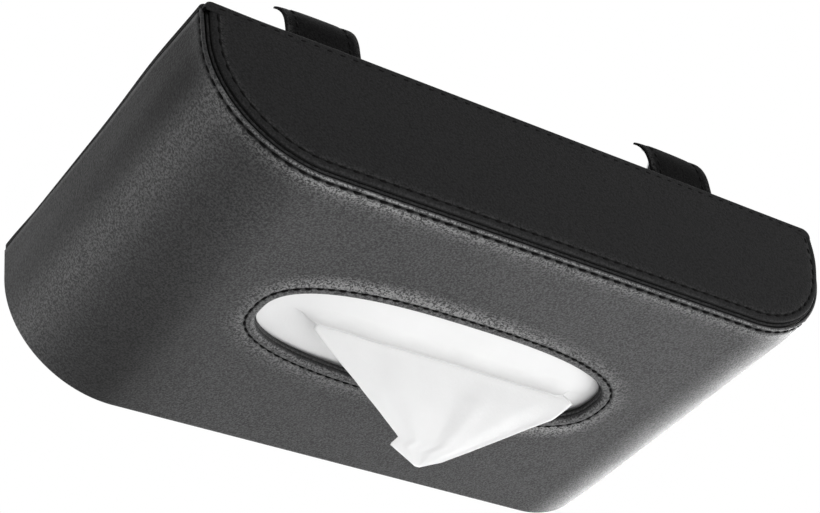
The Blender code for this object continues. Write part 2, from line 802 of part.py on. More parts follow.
def make_sheet():
    """The sheet pulled down through the slot: wide at the slot, in soft folds, drawn to a corner at its tip."""
    sections = []
    rows = sheet_rows()
    for height, left, right, lean in rows:
        width = right - left
        depth = SHEET_FOLD_DEPTH * width / SLOT_LENGTH
        front = []
        back = []
        for k in range(SHEET_COLUMNS + 1):
            share = k / SHEET_COLUMNS
            wave = math.sin(2 * math.pi * SHEET_FOLDS * share)
            x = left + width * share
            y = lean + depth * wave
            front.append((x, y - SHEET_THICKNESS / 2, height))
            back.append((x, y + SHEET_THICKNESS / 2, height))
        sections.append(front + back[::-1])
    guide = pivot("sheet_guide", 0, 0, PACK_BOTTOM)
    sheet = finish(loft("tissue_sheet", sections), "tissue_sheet", "white_tissue", smooth=True)
    hang_on(sheet, guide)


clear_scene()
PARTS = collection(OBJECT_NAME)
CUTTERS = collection("cutters")
make_wrap()
make_boards()
make_rims()
make_slot()
make_back_plate()
make_far_panel()
make_flap_seat()
make_flap()
make_clips()
make_pack()
make_sheet()
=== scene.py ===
"""Looks of the visor tissue holder: leather, stitching, tissue, metal and the studio round its frame."""

import math
import random

import bmesh
import bpy
import numpy as np
from mathutils import Matrix, Vector, noise


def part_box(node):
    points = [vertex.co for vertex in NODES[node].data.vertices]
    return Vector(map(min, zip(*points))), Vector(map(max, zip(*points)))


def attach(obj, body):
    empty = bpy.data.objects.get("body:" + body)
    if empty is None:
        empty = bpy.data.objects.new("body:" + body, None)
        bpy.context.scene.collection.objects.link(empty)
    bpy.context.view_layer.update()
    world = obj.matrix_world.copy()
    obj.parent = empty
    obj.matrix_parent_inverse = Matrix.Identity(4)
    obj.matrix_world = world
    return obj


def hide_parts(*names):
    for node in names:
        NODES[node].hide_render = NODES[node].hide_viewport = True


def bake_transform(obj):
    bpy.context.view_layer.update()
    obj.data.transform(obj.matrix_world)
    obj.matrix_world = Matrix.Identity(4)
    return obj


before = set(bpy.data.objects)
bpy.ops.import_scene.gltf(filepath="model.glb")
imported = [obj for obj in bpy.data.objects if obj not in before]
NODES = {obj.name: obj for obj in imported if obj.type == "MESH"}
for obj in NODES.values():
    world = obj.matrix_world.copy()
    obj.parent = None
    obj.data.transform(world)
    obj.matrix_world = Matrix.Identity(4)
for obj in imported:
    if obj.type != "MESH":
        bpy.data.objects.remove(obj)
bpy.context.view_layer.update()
MM = 0.001

# The case, in millimetres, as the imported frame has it. The slot's power is its superellipse's exponent
CASE_LENGTH = 230.0
CASE_HEIGHT = 49.5
CORNER_RADIUS = 37.0
END_WALL = CASE_HEIGHT - CORNER_RADIUS
FACE_HALF = CASE_LENGTH / 2 - CORNER_RADIUS
WRAP_TOP = -2.3
WRAP_EDGE = 61.0
LEATHER = 0.9
RIM_TOP = -3.6
PANEL_INSET = 2.8
PANEL_TOP = -2.4
PANEL_BACK = 60.0
PANEL_CORNER = 1.8
PANEL_TOP_SHARE = 0.25
SLOT_CENTRE = (-1.5, -1.9)
SLOT_HALF = (62.3, 19.2)
SLOT_POWER = 2.62
BINDING = 2.8
CLIPS = {"left": -71.5, "right": 66.0}
CLIP_Y = -55.3
CLIP_Z = -1.1
RIVET_Y = -34.3
RIVET_OFFSET = 6.5

# Where the photographed leather stands off the drawn outline, in millimetres. A crest has a rise and a tilt
NEAR_LIFT = 0.5
BULGE, BULGE_Y, BULGE_SPREAD = 0.76, -35.0, 19.0
FAR_BULGE = 0.55
CORNER_SWELL = 0.6
CREST_LIFT = {"left": (1.1, 0.3), "right": (2.35, -0.2)}
CREST_DROOP = 0.75

# Stitching: lengths in millimetres, and a stitch's taper, flatness and scatter of length as shares
STITCH_LENGTH = 2.9
STITCH_THICKNESS = 0.95
STITCH_RISE = 0.06
STITCH_SINK = 0.06
STITCH_DIP = 0.42
STITCH_TAPER = 0.45
STITCH_FLATNESS = 0.8
STITCH_SIZES = (0.93, 1.05)
SEAM_PITCH = 4.4
SLOT_PITCH = 3.4
SLOT_STITCH = 2.5
CLIP_PITCH = 3.6
CLIP_STITCH = 2.6
SEAM_STITCH_INSET = 1.75
PANEL_STITCH_INSET = 0.9
PANEL_STITCH_DEPTH = 2.93
PLATE_STITCH_INSET = 3.0
CLIP_STITCH_ACROSS = 9.0
CLIP_STITCH_RISE = 1.5

# The stitches' lean and its scatter, in degrees
STITCH_LEAN = 4
STITCH_SWAY = 5

# The mesh's steps along the case's outline
WALL_STEPS = 6
ARC_STEPS = 44
FACE_STEPS = 156

# The pack, in millimetres: its rounded edges, the share of it that is even, its mouth, lips and pocket
PACK_ROUND = 5.0
PACK_EVEN = 0.93
MOUTH_MIDDLE, MOUTH_HALF, MOUTH_EASE = 1.5, 52.0, 7.0
LIP_FILLET = 4.0
POCKET_HEIGHT = 28.2

# The sheet, in millimetres: its flat layers in the pack, where it leaves the pack and how far it hangs
SHEET_HALF = 43.5
SHEET_LAYERS = 8
SHEET_FOLDS = (-5.3, 4.6)
LAYERS_TOP = -16.95
LAYER_STEP = 0.26
SHEET_EXIT_Y = -1.25
SHEET_DROP = 35.4
SHEET_LEAN = 5.0
SHEET_THICKNESS = 0.18

# The hanging corner: share of the drop, left edge and right edge
SHEET_ROWS = [
    (0, -45.2, 53), (0.08, -42.2, 50), (0.2, -37.2, 45), (0.38, -29.8, 33.4), (0.58, -22.3, 21),
    (0.77, -15.1, 9), (0.86, -18.3, 3.1), (0.9, -15.7, 0.8), (1, -9.3, -7.8),
]

# The photograph's camera: place in metres, focal length in pixels, last corrections in radians, rest in mm
CAMERA_PLACE = (-0.32993, -0.39718, -0.39114)
CAMERA_AXES = ((0.81800294, -0.26831066, -0.50880309), (-0.56448268, -0.54450607, -0.62038088),
               (-0.11059157, 0.79468391, -0.59686429))
FOCAL_PIXELS = 2012.6
VIEW_RISE = 1.2 / FOCAL_PIXELS
VIEW_TURN = 0.5 / FOCAL_PIXELS
SENSOR_WIDTH = 36.0
LENS = 88.36


# Meshes
def smoothstep(value):
    """Eases a value from 0 to 1."""
    value = min(1.0, max(0.0, value))
    return value * value * (3 - 2 * value)


def ramp(value, start, span):
    """Rises smoothly from 0 to 1 over a span."""
    return smoothstep((value - start) / span)


def part(pair, share):
    """The value part of the way from the first of a pair to the second."""
    return pair[0] + (pair[1] - pair[0]) * share


def bell(value, middle, spread):
    """One at the middle, falling off to nothing on both sides."""
    return math.exp(-((value - middle) / spread) ** 2)


def new_mesh_object(name, points, faces, material, wear=None, painted_shade=None):
    """A mesh object from points in millimetres, merged, facing out and smooth."""
    mesh = bpy.data.meshes.new(name)
    mesh.from_pydata([(x * MM, y * MM, z * MM) for x, y, z in points], [], faces)
    for label, values in (("wear", wear), ("painted_shade", painted_shade)):
        if values is not None:
            layer = mesh.attributes.new(label, "FLOAT", "POINT")
            layer.data.foreach_set("value", [float(v) for v in values])
    edit = bmesh.new()
    edit.from_mesh(mesh)
    bmesh.ops.remove_doubles(edit, verts=edit.verts, dist=1e-7)
    bmesh.ops.recalc_face_normals(edit, faces=edit.faces)
    for face in edit.faces:
        face.smooth = True
    edit.to_mesh(mesh)
    edit.free()
    mesh.materials.append(material)
    piece = bpy.data.objects.new(name, mesh)
    bpy.context.scene.collection.objects.link(piece)
    return piece


def bridge(lines, closed=False):
    """Quads between neighbouring lines of point numbers."""
    faces = []
    for one, two in zip(lines, lines[1:]):
        for k in range(len(one) if closed else len(one) - 1):
            n = (k + 1) % len(one)
            faces.append((one[k], one[n], two[n], two[k]))
    return faces


def loop_faces(loops, count, closed=True, cap_ends=False):
    """Quads between neighbouring loops of count points each."""
    lines = [range(row * count, (row + 1) * count) for row in range(loops)]
    faces = bridge(lines, closed)
    if cap_ends:
        faces += [tuple(lines[0])[::-1], tuple(lines[-1])]
    return faces


class Skin:
    """A leather surface's points, each with its share of painted highlight and of painted shade."""

    def __init__(self):
        self.points, self.wear, self.painted_shade = [], [], []

    def add(self, point, highlight, sunk):
        self.points.append(point)
        self.wear.append(highlight)
        self.painted_shade.append(sunk)
        return len(self.points) - 1

    def piece(self, name, faces, look):
        return new_mesh_object(name, self.points, faces, look, self.wear, self.painted_shade)


def baked(piece):
    """Applies a piece's modifiers to its mesh."""
    graph = bpy.context.evaluated_depsgraph_get()
    mesh = bpy.data.meshes.new_from_object(piece.evaluated_get(graph))
    piece.modifiers.clear()
    old = piece.data
    piece.data = mesh
    bpy.data.meshes.remove(old)


def thicken(piece, thickness, offset):
    """Gives an open surface its thickness, in millimetres."""
    step = piece.modifiers.new("thickness", "SOLIDIFY")
    step.thickness = thickness * MM
    step.offset = offset
    baked(piece)


def settle(piece, body, replaced=()):
    """Puts a piece on its body and in place of the nodes that it stands for."""
    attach(piece, body)
    if replaced:
        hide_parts(*replaced)


# Outlines
def arc(x, y, radius, start, end, steps):
    """Points along an arc, from one angle in degrees to another."""
    turns = [math.radians(start + (end - start) * k / steps) for k in range(steps + 1)]
    return [(x + radius * math.cos(turn), y + radius * math.sin(turn)) for turn in turns]


def circle(x, y, radius, count):
    """Points round a circle."""
    return arc(x, y, radius, 0, 360, count)[:-1]


def near_lift(y, z):
    """How far the near seam draws up from the plane of the face."""
    return NEAR_LIFT * ramp(-y, 57.5, 3.2) * ramp(-z, 15, 30)


def left_bulge(y):
    """How far the left end stands out of its plane along its top."""
    return BULGE * bell(y, BULGE_Y, BULGE_SPREAD) + FAR_BULGE * ramp(y, 38, 20)


def swell(y, nx, nz):
    """How far the leather's ends and rounded corners stand out of the drawn outline."""
    corner = 2 * abs(nx * nz)
    if nx > 0:
        return CORNER_SWELL * corner * ramp(y, -WRAP_EDGE, 12) * smoothstep((66 - y) / 25)
    far = ramp(y, -WRAP_EDGE, 2 * WRAP_EDGE)
    bulge = BULGE * nx * nx * bell(y, BULGE_Y, BULGE_SPREAD)
    return far * (CORNER_SWELL * abs(nx) + 0.15 * corner) + bulge


def case_profile(inset, top, arc_steps=ARC_STEPS, face_steps=FACE_STEPS):
    """The case's U from the left end's top to the right end's: x, z and the outward direction."""
    side = CASE_LENGTH / 2 - inset
    radius = CORNER_RADIUS - inset
    line = []
    for k in range(WALL_STEPS):
        line.append((-side, top + (-END_WALL - top) * k / WALL_STEPS, -1.0, 0.0))
    for k in range(arc_steps):
        turn = math.pi + math.pi / 2 * k / arc_steps
        line.append((-FACE_HALF + radius * math.cos(turn), -END_WALL + radius * math.sin(turn),
                     math.cos(turn), math.sin(turn)))
    for k in range(face_steps + 1):
        line.append((-FACE_HALF + 2 * FACE_HALF * k / face_steps, -CASE_HEIGHT + inset, 0.0, -1.0))
    mirrored = [(-x, z, -nx, nz) for x, z, nx, nz in line[:WALL_STEPS + arc_steps]][::-1]
    return line + mirrored


def slot_point(angle, growth):
    """A point of the slot's outline, grown outward."""
    cosine = math.cos(angle)
    sine = math.sin(angle)
    x = (SLOT_HALF[0] + growth) * math.copysign(abs(cosine) ** (2 / SLOT_POWER), cosine)
    y = (SLOT_HALF[1] + growth) * math.copysign(abs(sine) ** (2 / SLOT_POWER), sine)
    return SLOT_CENTRE[0] + x, SLOT_CENTRE[1] + y


def panel_loop(reach, arc_steps=30, corner_steps=8, face_steps=110, top_steps=150):
    """A side panel's outline, moved in by reach, with less of it along the top edge."""
    inset = PANEL_INSET + reach
    top = PANEL_TOP - reach * PANEL_TOP_SHARE
    radius = max(0.6, PANEL_CORNER - reach * 0.5)
    line = [(x, z) for x, z, _, _ in case_profile(inset, top - radius, arc_steps, face_steps)]
    span = CASE_LENGTH / 2 - inset - radius
    line += arc(span, top - radius, radius, 0, 90, corner_steps)[1:]
    line += [(span - 2 * span * k / top_steps, top) for k in range(1, top_steps)]
    return line + arc(-span, top - radius, radius, 90, 180, corner_steps)[:-1]


def walk(points, pitch, closed=False):
    """Evenly spaced places along a line of points, each with its direction."""
    line = [Vector(point) for point in points]
    if closed:
        line.append(line[0])
    lengths = [0.0]
    for a, b in zip(line, line[1:]):
        lengths.append(lengths[-1] + (b - a).length)
    count = max(1, round(lengths[-1] / pitch))
    places = []
    k = 0
    for n in range(count):
        want = lengths[-1] * (n + 0.5) / count
        while lengths[k + 1] < want:
            k += 1
        share = (want - lengths[k]) / (lengths[k + 1] - lengths[k])
        places.append((line[k].lerp(line[k + 1], share), (line[k + 1] - line[k]).normalized()))
    return places


# Materials
def grey(level, blue=None):
    """An opaque grey, with its blue a little off where it is given."""
    return (level, level, level if blue is None else blue, 1.0)


def scaled(colour, factor):
    """An opaque colour made darker or lighter."""
    return tuple(c * factor for c in colour[:3]) + (1.0,)


class Shader:
    """A material's node tree, with short calls for the nodes it needs."""

    def __init__(self, name):
        self.material = bpy.data.materials.new(name)
        self.material.use_nodes = True
        self.tree = self.material.node_tree
        self.tree.nodes.clear()
        output = self.tree.nodes.new("ShaderNodeOutputMaterial")
        self.surface = self.tree.nodes.new("ShaderNodeBsdfPrincipled")
        self.tree.links.new(self.surface.outputs[0], output.inputs["Surface"])
        self.place = self.node("ShaderNodeTexCoord", {}, "Object")

    def fill(self, node, values):
        """Sets each input to its value, or links it where the value is another node's output."""
        for label, value in values.items():
            if isinstance(value, (tuple, float, int)):
                node.inputs[label].default_value = value
            else:
                self.tree.links.new(value, node.inputs[label])

    def node(self, kind, values, output, **settings):
        """Adds a node and gives one of its outputs."""
        node = self.tree.nodes.new(kind)
        for label, value in settings.items():
            setattr(node, label, value)
        self.fill(node, values)
        return node.outputs[output]

    def finish(self, **values):
        """Sets or links the surface's inputs and gives the material."""
        self.fill(self.surface, {label.replace("_", " "): value for label, value in values.items()})
        return self.material

    def noise(self, scale, detail=3.0, roughness=0.55, place=None):
        values = {"Scale": scale, "Detail": detail, "Roughness": roughness, "Vector": place or self.place}
        return self.node("ShaderNodeTexNoise", values, "Fac")

    def cells(self, scale, feature, **values):
        values.update(Scale=scale, Vector=self.place)
        return self.node("ShaderNodeTexVoronoi", values, "Distance", feature=feature)

    def math(self, operation, a, b=0.0, clamp=False):
        return self.node("ShaderNodeMath", {0: a, 1: b}, 0, operation=operation, use_clamp=clamp)

    def ranged(self, value, low, high, out_low=0.0, out_high=1.0):
        values = {"Value": value, "From Min": low, "From Max": high, "To Min": out_low, "To Max": out_high}
        return self.node("ShaderNodeMapRange", values, "Result")

    def mix(self, factor, a, b):
        return self.node("ShaderNodeMix", {"Factor": factor, 6: a, 7: b}, 2, data_type="RGBA")

    def attribute(self, name):
        return self.node("ShaderNodeAttribute", {}, "Fac", attribute_name=name)

    def stretched_place(self, scale):
        return self.node("ShaderNodeMapping", {"Vector": self.place, "Scale": scale}, "Vector")

    def bump(self, height, strength, distance, **values):
        values.update(Height=height, Strength=strength, Distance=distance)
        return self.node("ShaderNodeBump", values, "Normal")


def leather_material(name, dark, light, highlight, rough, gloss, contrast):
    """Pebbled black leather: cells and fine pores, a little mottled, paler where a painted highlight is laid
    and near black where painted shade is laid.
    """
    shader = Shader(name)
    pebbles = shader.cells(1500.0, "SMOOTH_F1", Smoothness=0.6)
    pores = shader.noise(5200.0, 2.0)
    mottle = shader.noise(55.0, 4.0)
    grain = shader.ranged(shader.noise(1500.0, 2.0, 0.75), 0.42, 0.60, 0.0, 1.2)
    valley = shader.ranged(pebbles, 0.15, 0.75)
    base = shader.mix(shader.ranged(mottle, 0.35, 0.65), dark, light)
    base = shader.mix(shader.math("MULTIPLY", valley, 0.45), base, scaled(dark, 0.5))
    base = shader.mix(shader.math("MULTIPLY", grain, contrast, clamp=True), base, scaled(light, 2.1))
    # Painted highlight: the pale colour mixed in by each point's painted highlight share, broken up by the
    # grain
    base = shader.mix(shader.math("MULTIPLY", shader.attribute("wear"), grain, clamp=True), base, highlight)
    relief = shader.math("ADD", shader.math("MULTIPLY", pebbles, -1.0), shader.math("MULTIPLY", pores, 0.35))
    coarse = shader.bump(shader.noise(120.0, 3.0), 0.25, 0.0006)
    return shader.finish(
        # Painted shade: near black mixed in by each point's painted shade share
        Base_Color=shader.mix(shader.attribute("painted_shade"), base, grey(0.003)),
        Roughness=shader.ranged(shader.math("ADD", mottle, valley), 0.5, 1.6, *rough),
        Specular_IOR_Level=gloss, Sheen_Weight=0.02, Sheen_Roughness=0.45,
        Normal=shader.bump(relief, 0.55, 0.00016, Normal=coarse))


def lining_material():
    """Thin woven lining."""
    shader = Shader("woven_lining")
    warp = shader.noise(900.0, 2.0, 0.5, shader.stretched_place((6.0, 1.0, 1.0)))
    weft = shader.noise(900.0, 2.0, 0.5, shader.stretched_place((1.0, 6.0, 6.0)))
    weave = shader.math("ADD", warp, weft)
    return shader.finish(
        Base_Color=shader.mix(shader.ranged(weave, 0.7, 1.3), grey(0.012, 0.013), grey(0.035, 0.037)),
        Roughness=0.85, Specular_IOR_Level=0.2, Sheen_Weight=0.1, Normal=shader.bump(weave, 0.5, 0.0002))


def board_material():
    """Grey chipboard with short fibres and flecks."""
    shader = Shader("grey_chipboard")
    fibres = shader.noise(420.0, 5.0, 0.7, shader.stretched_place((1.0, 3.0, 2.0)))
    tone = shader.mix(shader.ranged(fibres, 0.3, 0.7), (0.20, 0.19, 0.17, 1), (0.34, 0.33, 0.30, 1))
    flecks = shader.ranged(shader.cells(600.0, "F1"), 0.0, 0.12, 0.6, 0.0)
    return shader.finish(Base_Color=shader.mix(flecks, tone, (0.08, 0.075, 0.07, 1)), Roughness=0.9,
                         Specular_IOR_Level=0.2, Normal=shader.bump(fibres, 0.35, 0.0002))


def plastic_material():
    """Black moulded plastic with a fine eroded surface."""
    shader = Shader("moulded_plastic")
    texture = shader.noise(1800.0, 2.0)
    return shader.finish(Base_Color=shader.mix(texture, grey(0.010, 0.011), grey(0.020, 0.021)),
                         Roughness=shader.ranged(texture, 0.3, 0.7, 0.38, 0.55),
                         Normal=shader.bump(texture, 0.2, 0.0001))


def steel_material(name, colour, low, high, stretch):
    """Rolled steel with fine drawn lines and faint handling marks."""
    shader = Shader(name)
    lines = shader.noise(700.0, 4.0, 0.6, shader.stretched_place(stretch))
    marks = shader.noise(90.0, 3.0)
    return shader.finish(
        Base_Color=shader.mix(shader.ranged(marks, 0.3, 0.7), scaled(colour, 0.8), colour + (1.0,)),
        Metallic=1.0, Roughness=shader.ranged(shader.math("ADD", lines, marks), 0.7, 1.3, low, high),
        Normal=shader.bump(lines, 0.12, 0.00008))


def felt_material():
    """Pressed black felt."""
    shader = Shader("pressed_felt")
    fibres = shader.noise(2600.0, 5.0, 0.75)
    lumps = shader.noise(400.0, 3.0)
    return shader.finish(Base_Color=shader.mix(fibres, grey(0.008, 0.009), grey(0.045, 0.047)),
                         Roughness=0.95, Specular_IOR_Level=0.1, Sheen_Weight=0.2, Sheen_Roughness=0.5,
                         Normal=shader.bump(shader.math("ADD", fibres, lumps), 0.8, 0.0003))


def thread_material():
    """Black bonded thread with its twist."""
    shader = Shader("bonded_thread")
    twist = shader.noise(2600.0, 2.0)
    return shader.finish(Base_Color=shader.mix(twist, grey(0.001), grey(0.005)), Roughness=0.7,
                         Specular_IOR_Level=0.05, Normal=shader.bump(twist, 0.6, 0.0002))


def tissue_material(name, low, high, passing):
    """Soft two-ply tissue: white, faintly fibrous, letting some light through."""
    shader = Shader(name)
    fibres = shader.noise(900.0, 5.0, 0.7)
    cloud = shader.ranged(shader.noise(60.0, 3.0), 0.35, 0.65)
    return shader.finish(
        Base_Color=shader.mix(cloud, grey(low), grey(high)), Roughness=0.95, Specular_IOR_Level=0.1,
        Subsurface_Weight=passing, Subsurface_Scale=0.003, Subsurface_Radius=(1.0, 1.0, 1.0),
        Normal=shader.bump(fibres, 0.25, 0.00025))


LEATHER_LOOK = leather_material("pebbled_leather", grey(0.0346, 0.0353), grey(0.0431, 0.0438), grey(0.24),
                                (0.42, 0.58), 0.08, 0.6)
# A darker copy of the pebbled leather for the panels, rims, plate and hinge: the extra darkness is painted
# shade
PANEL_SHADE_LOOK = leather_material("panel_leather_painted_shade", grey(0.0136, 0.0139), grey(0.0166, 0.0169), grey(0.10),
                              (0.56, 0.70), 0.045, 0.25)
# A much darker copy of the leather for the clips' covers: the extra darkness is painted shade
CLIP_SHADE_LOOK = leather_material("clip_leather_finish", grey(0.0038, 0.0039), grey(0.0048, 0.0049), grey(0.05),
                             (0.60, 0.74), 0.02, 0.3)
LINING_LOOK = lining_material()
BOARD_LOOK = board_material()
PLASTIC_LOOK = plastic_material()
STEEL_LOOK = steel_material("drawn_steel", (0.56, 0.57, 0.58), 0.24, 0.40, (0.6, 6.0, 6.0))
RIVET_LOOK = steel_material("blackened_steel", (0.10, 0.10, 0.105), 0.28, 0.42, (2.0, 2.0, 2.0))
MAGNET_LOOK = steel_material("nickel_plating", (0.66, 0.65, 0.62), 0.14, 0.26, (3.0, 3.0, 3.0))
FELT_LOOK = felt_material()
THREAD_LOOK = thread_material()
# The pack's tissue is a darker copy of the sheet's: the difference is painted shade
PACK_SHADE_LOOK = tissue_material("folded_tissue_painted_shade", 0.75, 0.77, 0.1)
SHEET_LOOK = tissue_material("single_tissue", 0.94, 0.96, 0.3)


def dress_frame():
    """Gives the carried-over nodes their finishes."""
    looks = {
        "black_leather": LEATHER_LOOK, "clip_leather": CLIP_SHADE_LOOK, "grey_board": BOARD_LOOK,
        "black_lining": LINING_LOOK, "black_plastic": PLASTIC_LOOK, "spring_steel": STEEL_LOOK,
        "magnet_plating": MAGNET_LOOK, "black_felt": FELT_LOOK, "white_tissue": PACK_SHADE_LOOK,
    }
    for node in NODES.values():
        for place in node.material_slots:
            label = place.material.name.split(".")[0] if place.material else ""
            place.material = looks.get(label, LEATHER_LOOK)


# Stitching
class Stitching:
    """Gathers the stitches of one body and lays them all as one piece."""

    def __init__(self, name, body, seed):
        self.name = name
        self.body = body
        self.random = random.Random(seed)
        self.places = []

    def row(self, points, normals, pitch, length=STITCH_LENGTH, closed=False):
        """A row along a line. normals gives the surface's outward direction at a place."""
        for centre, along in walk(points, pitch, closed):
            out = Vector(normals(centre)).normalized()
            along = (along - out * along.dot(out)).normalized()
            side = out.cross(along)
            lean = math.radians(self.random.uniform(-STITCH_SWAY, STITCH_SWAY) + STITCH_LEAN)
            along = (along * math.cos(lean) + side * math.sin(lean)).normalized()
            side = out.cross(along)
            turn = Matrix((along, side, out)).transposed().to_euler()
            size = length * self.random.uniform(*STITCH_SIZES)
            self.places.append((centre, turn, size / STITCH_LENGTH))

    def lay(self, tree, sockets, stitch):
        """Puts a stitch on every place, as one piece that rides on the body."""
        mesh = bpy.data.meshes.new(self.name + "_places")
        mesh.from_pydata([tuple(centre * MM) for centre, _, _ in self.places], [], [])
        turn = mesh.attributes.new("turn", "FLOAT_VECTOR", "POINT")
        turn.data.foreach_set("vector", [value for _, angles, _ in self.places for value in angles])
        stretch = mesh.attributes.new("stretch", "FLOAT", "POINT")
        stretch.data.foreach_set("value", [size for _, _, size in self.places])
        piece = bpy.data.objects.new(self.name, mesh)
        bpy.context.scene.collection.objects.link(piece)
        modifier = piece.modifiers.new("stitches", "NODES")
        modifier.node_group = tree
        modifier[sockets["Stitch"]] = stitch
        modifier[sockets["Thread"]] = THREAD_LOOK
        baked(piece)
        settle(piece, self.body)


def stitch_shape():
    """One stitch along X: a round thread whose ends dip into the leather."""
    stations = 7
    sides = 6
    points = []
    for k in range(stations):
        share = 2 * k / (stations - 1) - 1
        radius = STITCH_THICKNESS / 2 * (1 - STITCH_TAPER * share ** 4)
        rise = STITCH_RISE - STITCH_DIP * share ** 4
        for y, z in circle(0, 0, radius, sides):
            points.append((share * STITCH_LENGTH / 2, y, rise + z * STITCH_FLATNESS))
    return new_mesh_object("stitch_shape", points, loop_faces(stations, sides, cap_ends=True), THREAD_LOOK)


def stitch_tree():
    """Geometry nodes that put one stitch on every place, turned and stretched as its attributes say."""
    tree = bpy.data.node_groups.new("lay_stitches", "GeometryNodeTree")
    tree.interface.new_socket("Geometry", in_out="INPUT", socket_type="NodeSocketGeometry")
    sockets = {}
    for label, kind in (("Stitch", "NodeSocketObject"), ("Thread", "NodeSocketMaterial")):
        sockets[label] = tree.interface.new_socket(label, in_out="INPUT", socket_type=kind).identifier
    tree.interface.new_socket("Geometry", in_out="OUTPUT", socket_type="NodeSocketGeometry")
    add = tree.nodes.new
    start = add("NodeGroupInput")
    end = add("NodeGroupOutput")
    info = add("GeometryNodeObjectInfo")
    rotation = add("FunctionNodeEulerToRotation")
    scale = add("ShaderNodeCombineXYZ")
    scale.inputs["Y"].default_value = 1.0
    scale.inputs["Z"].default_value = 1.0
    place = add("GeometryNodeInstanceOnPoints")
    real = add("GeometryNodeRealizeInstances")
    thread = add("GeometryNodeSetMaterial")
    for label, kind, target in (("turn", "FLOAT_VECTOR", rotation), ("stretch", "FLOAT", scale)):
        field = add("GeometryNodeInputNamedAttribute")
        field.data_type = kind
        field.inputs["Name"].default_value = label
        tree.links.new(field.outputs["Attribute"], target.inputs[0])
    for source, output, target, entry in (
        (start, "Geometry", place, "Points"), (start, "Stitch", info, "Object"),
        (info, "Geometry", place, "Instance"), (rotation, 0, place, "Rotation"), (scale, 0, place, "Scale"),
        (place, "Instances", real, "Geometry"), (real, "Geometry", thread, "Geometry"),
        (start, "Thread", thread, "Material"), (thread, "Geometry", end, "Geometry"),
    ):
        tree.links.new(source.outputs[output], target.inputs[entry])
    return tree, sockets


# The wrap's edges and slot: distance in from the edge, rise over the leather's face, painted highlight and
# painted shade
SEAM_ROWS = [
    (0, -0.5, 0, 0.3), (0.05, -0.28, 0, 0.1), (0.14, -0.06, 0.3, 0), (0.28, 0.1, 1, 0), (0.48, 0.2, 1.3, 0),
    (0.72, 0.2, 0.6, 0), (0.96, 0.12, 0.1, 0.1), (1.2, 0, 0, 0.4), (1.45, -0.14, 0, 0.9), (1.75, -0.2, 0, 1),
    (2, -0.12, 0, 0.6), (2.3, 0.02, 0.35, 0), (2.8, 0.08, 0.8, 0), (3.4, 0.08, 0.75, 0), (4.2, 0.04, 0.5, 0),
    (5.2, 0.01, 0.3, 0), (6.6, 0, 0.12, 0),
]
FAR_ROWS = [
    (0, -0.5, 0, 0.6), (0.02, -0.34, 0.1, 0.3), (0.08, -0.2, 0.5, 0), (0.2, -0.08, 0.9, 0), (0.38, 0, 0.7, 0),
    (0.62, 0.03, 0.3, 0), (0.9, 0.03, 0.1, 0), (1.3, 0.02, 0, 0), (1.8, 0.01, 0, 0),
] + [(inset, 0, 0, 0) for inset in (2.3, 2.8, 3.3, 3.8, 4.4, 5.0, 5.8, 6.6)]
SLOT_ROWS = [
    (0, -0.2, 0, 0.5), (0.25, -0.12, 0, 0.25), (0.55, 0, 0.4, 0), (0.95, 0.12, 0.8, 0), (1.5, 0.17, 0.9, 0),
    (2.3, 0.13, 0.75, 0), (3.4, 0.06, 0.5, 0), (5, 0.01, 0.25, 0), (7.5, 0, 0, 0),
]
FACE_RINGS = (0.12, 0.26, 0.42, 0.58, 0.74, 0.88)
END_COLUMNS = 40

# The width beside the seams where the wrap's unevenness fades, in millimetres
EVEN_EDGE = 8.0

# The wrap's painted light and shade: a painted highlight band and painted shade bands over the left bend, and
# painted shade on the far face and on the left wall's near top. Each pair is for the near and the far edge.
# The bend is in degrees, from the left end round
BEND_HIGHLIGHT, BEND_HIGHLIGHT_MIDDLE, BEND_HIGHLIGHT_SPREAD = 0.32, 30.0, 12.0
SHADE_BEND, SHADE_BEND_MIDDLE, SHADE_BEND_SPREAD = (0.22, 0.56), (57.0, 75.0), (19.0, 27.0)
FACE_SHADE = 0.12
END_SHADE = 0.75
FLAT_FROM, FLAT_SPAN = 0.9, 0.1
SEAM_PUCKER = 0.05
SLOT_PUCKER, SLOT_PUCKERS = 0.035, 88


def near_turn(angle, middle, spread):
    """One at an angle in degrees, falling off to nothing around it."""
    return bell((math.degrees(angle) - middle + 180) % 360 - 180, 0, spread)


def unevenness(x, y, z):
    """The leather's slow waves, in millimetres."""
    return 0.10 * noise.noise(Vector((x, y, z)) / 26.0) + 0.03 * noise.noise(Vector((x, y, z)) / 7.0)


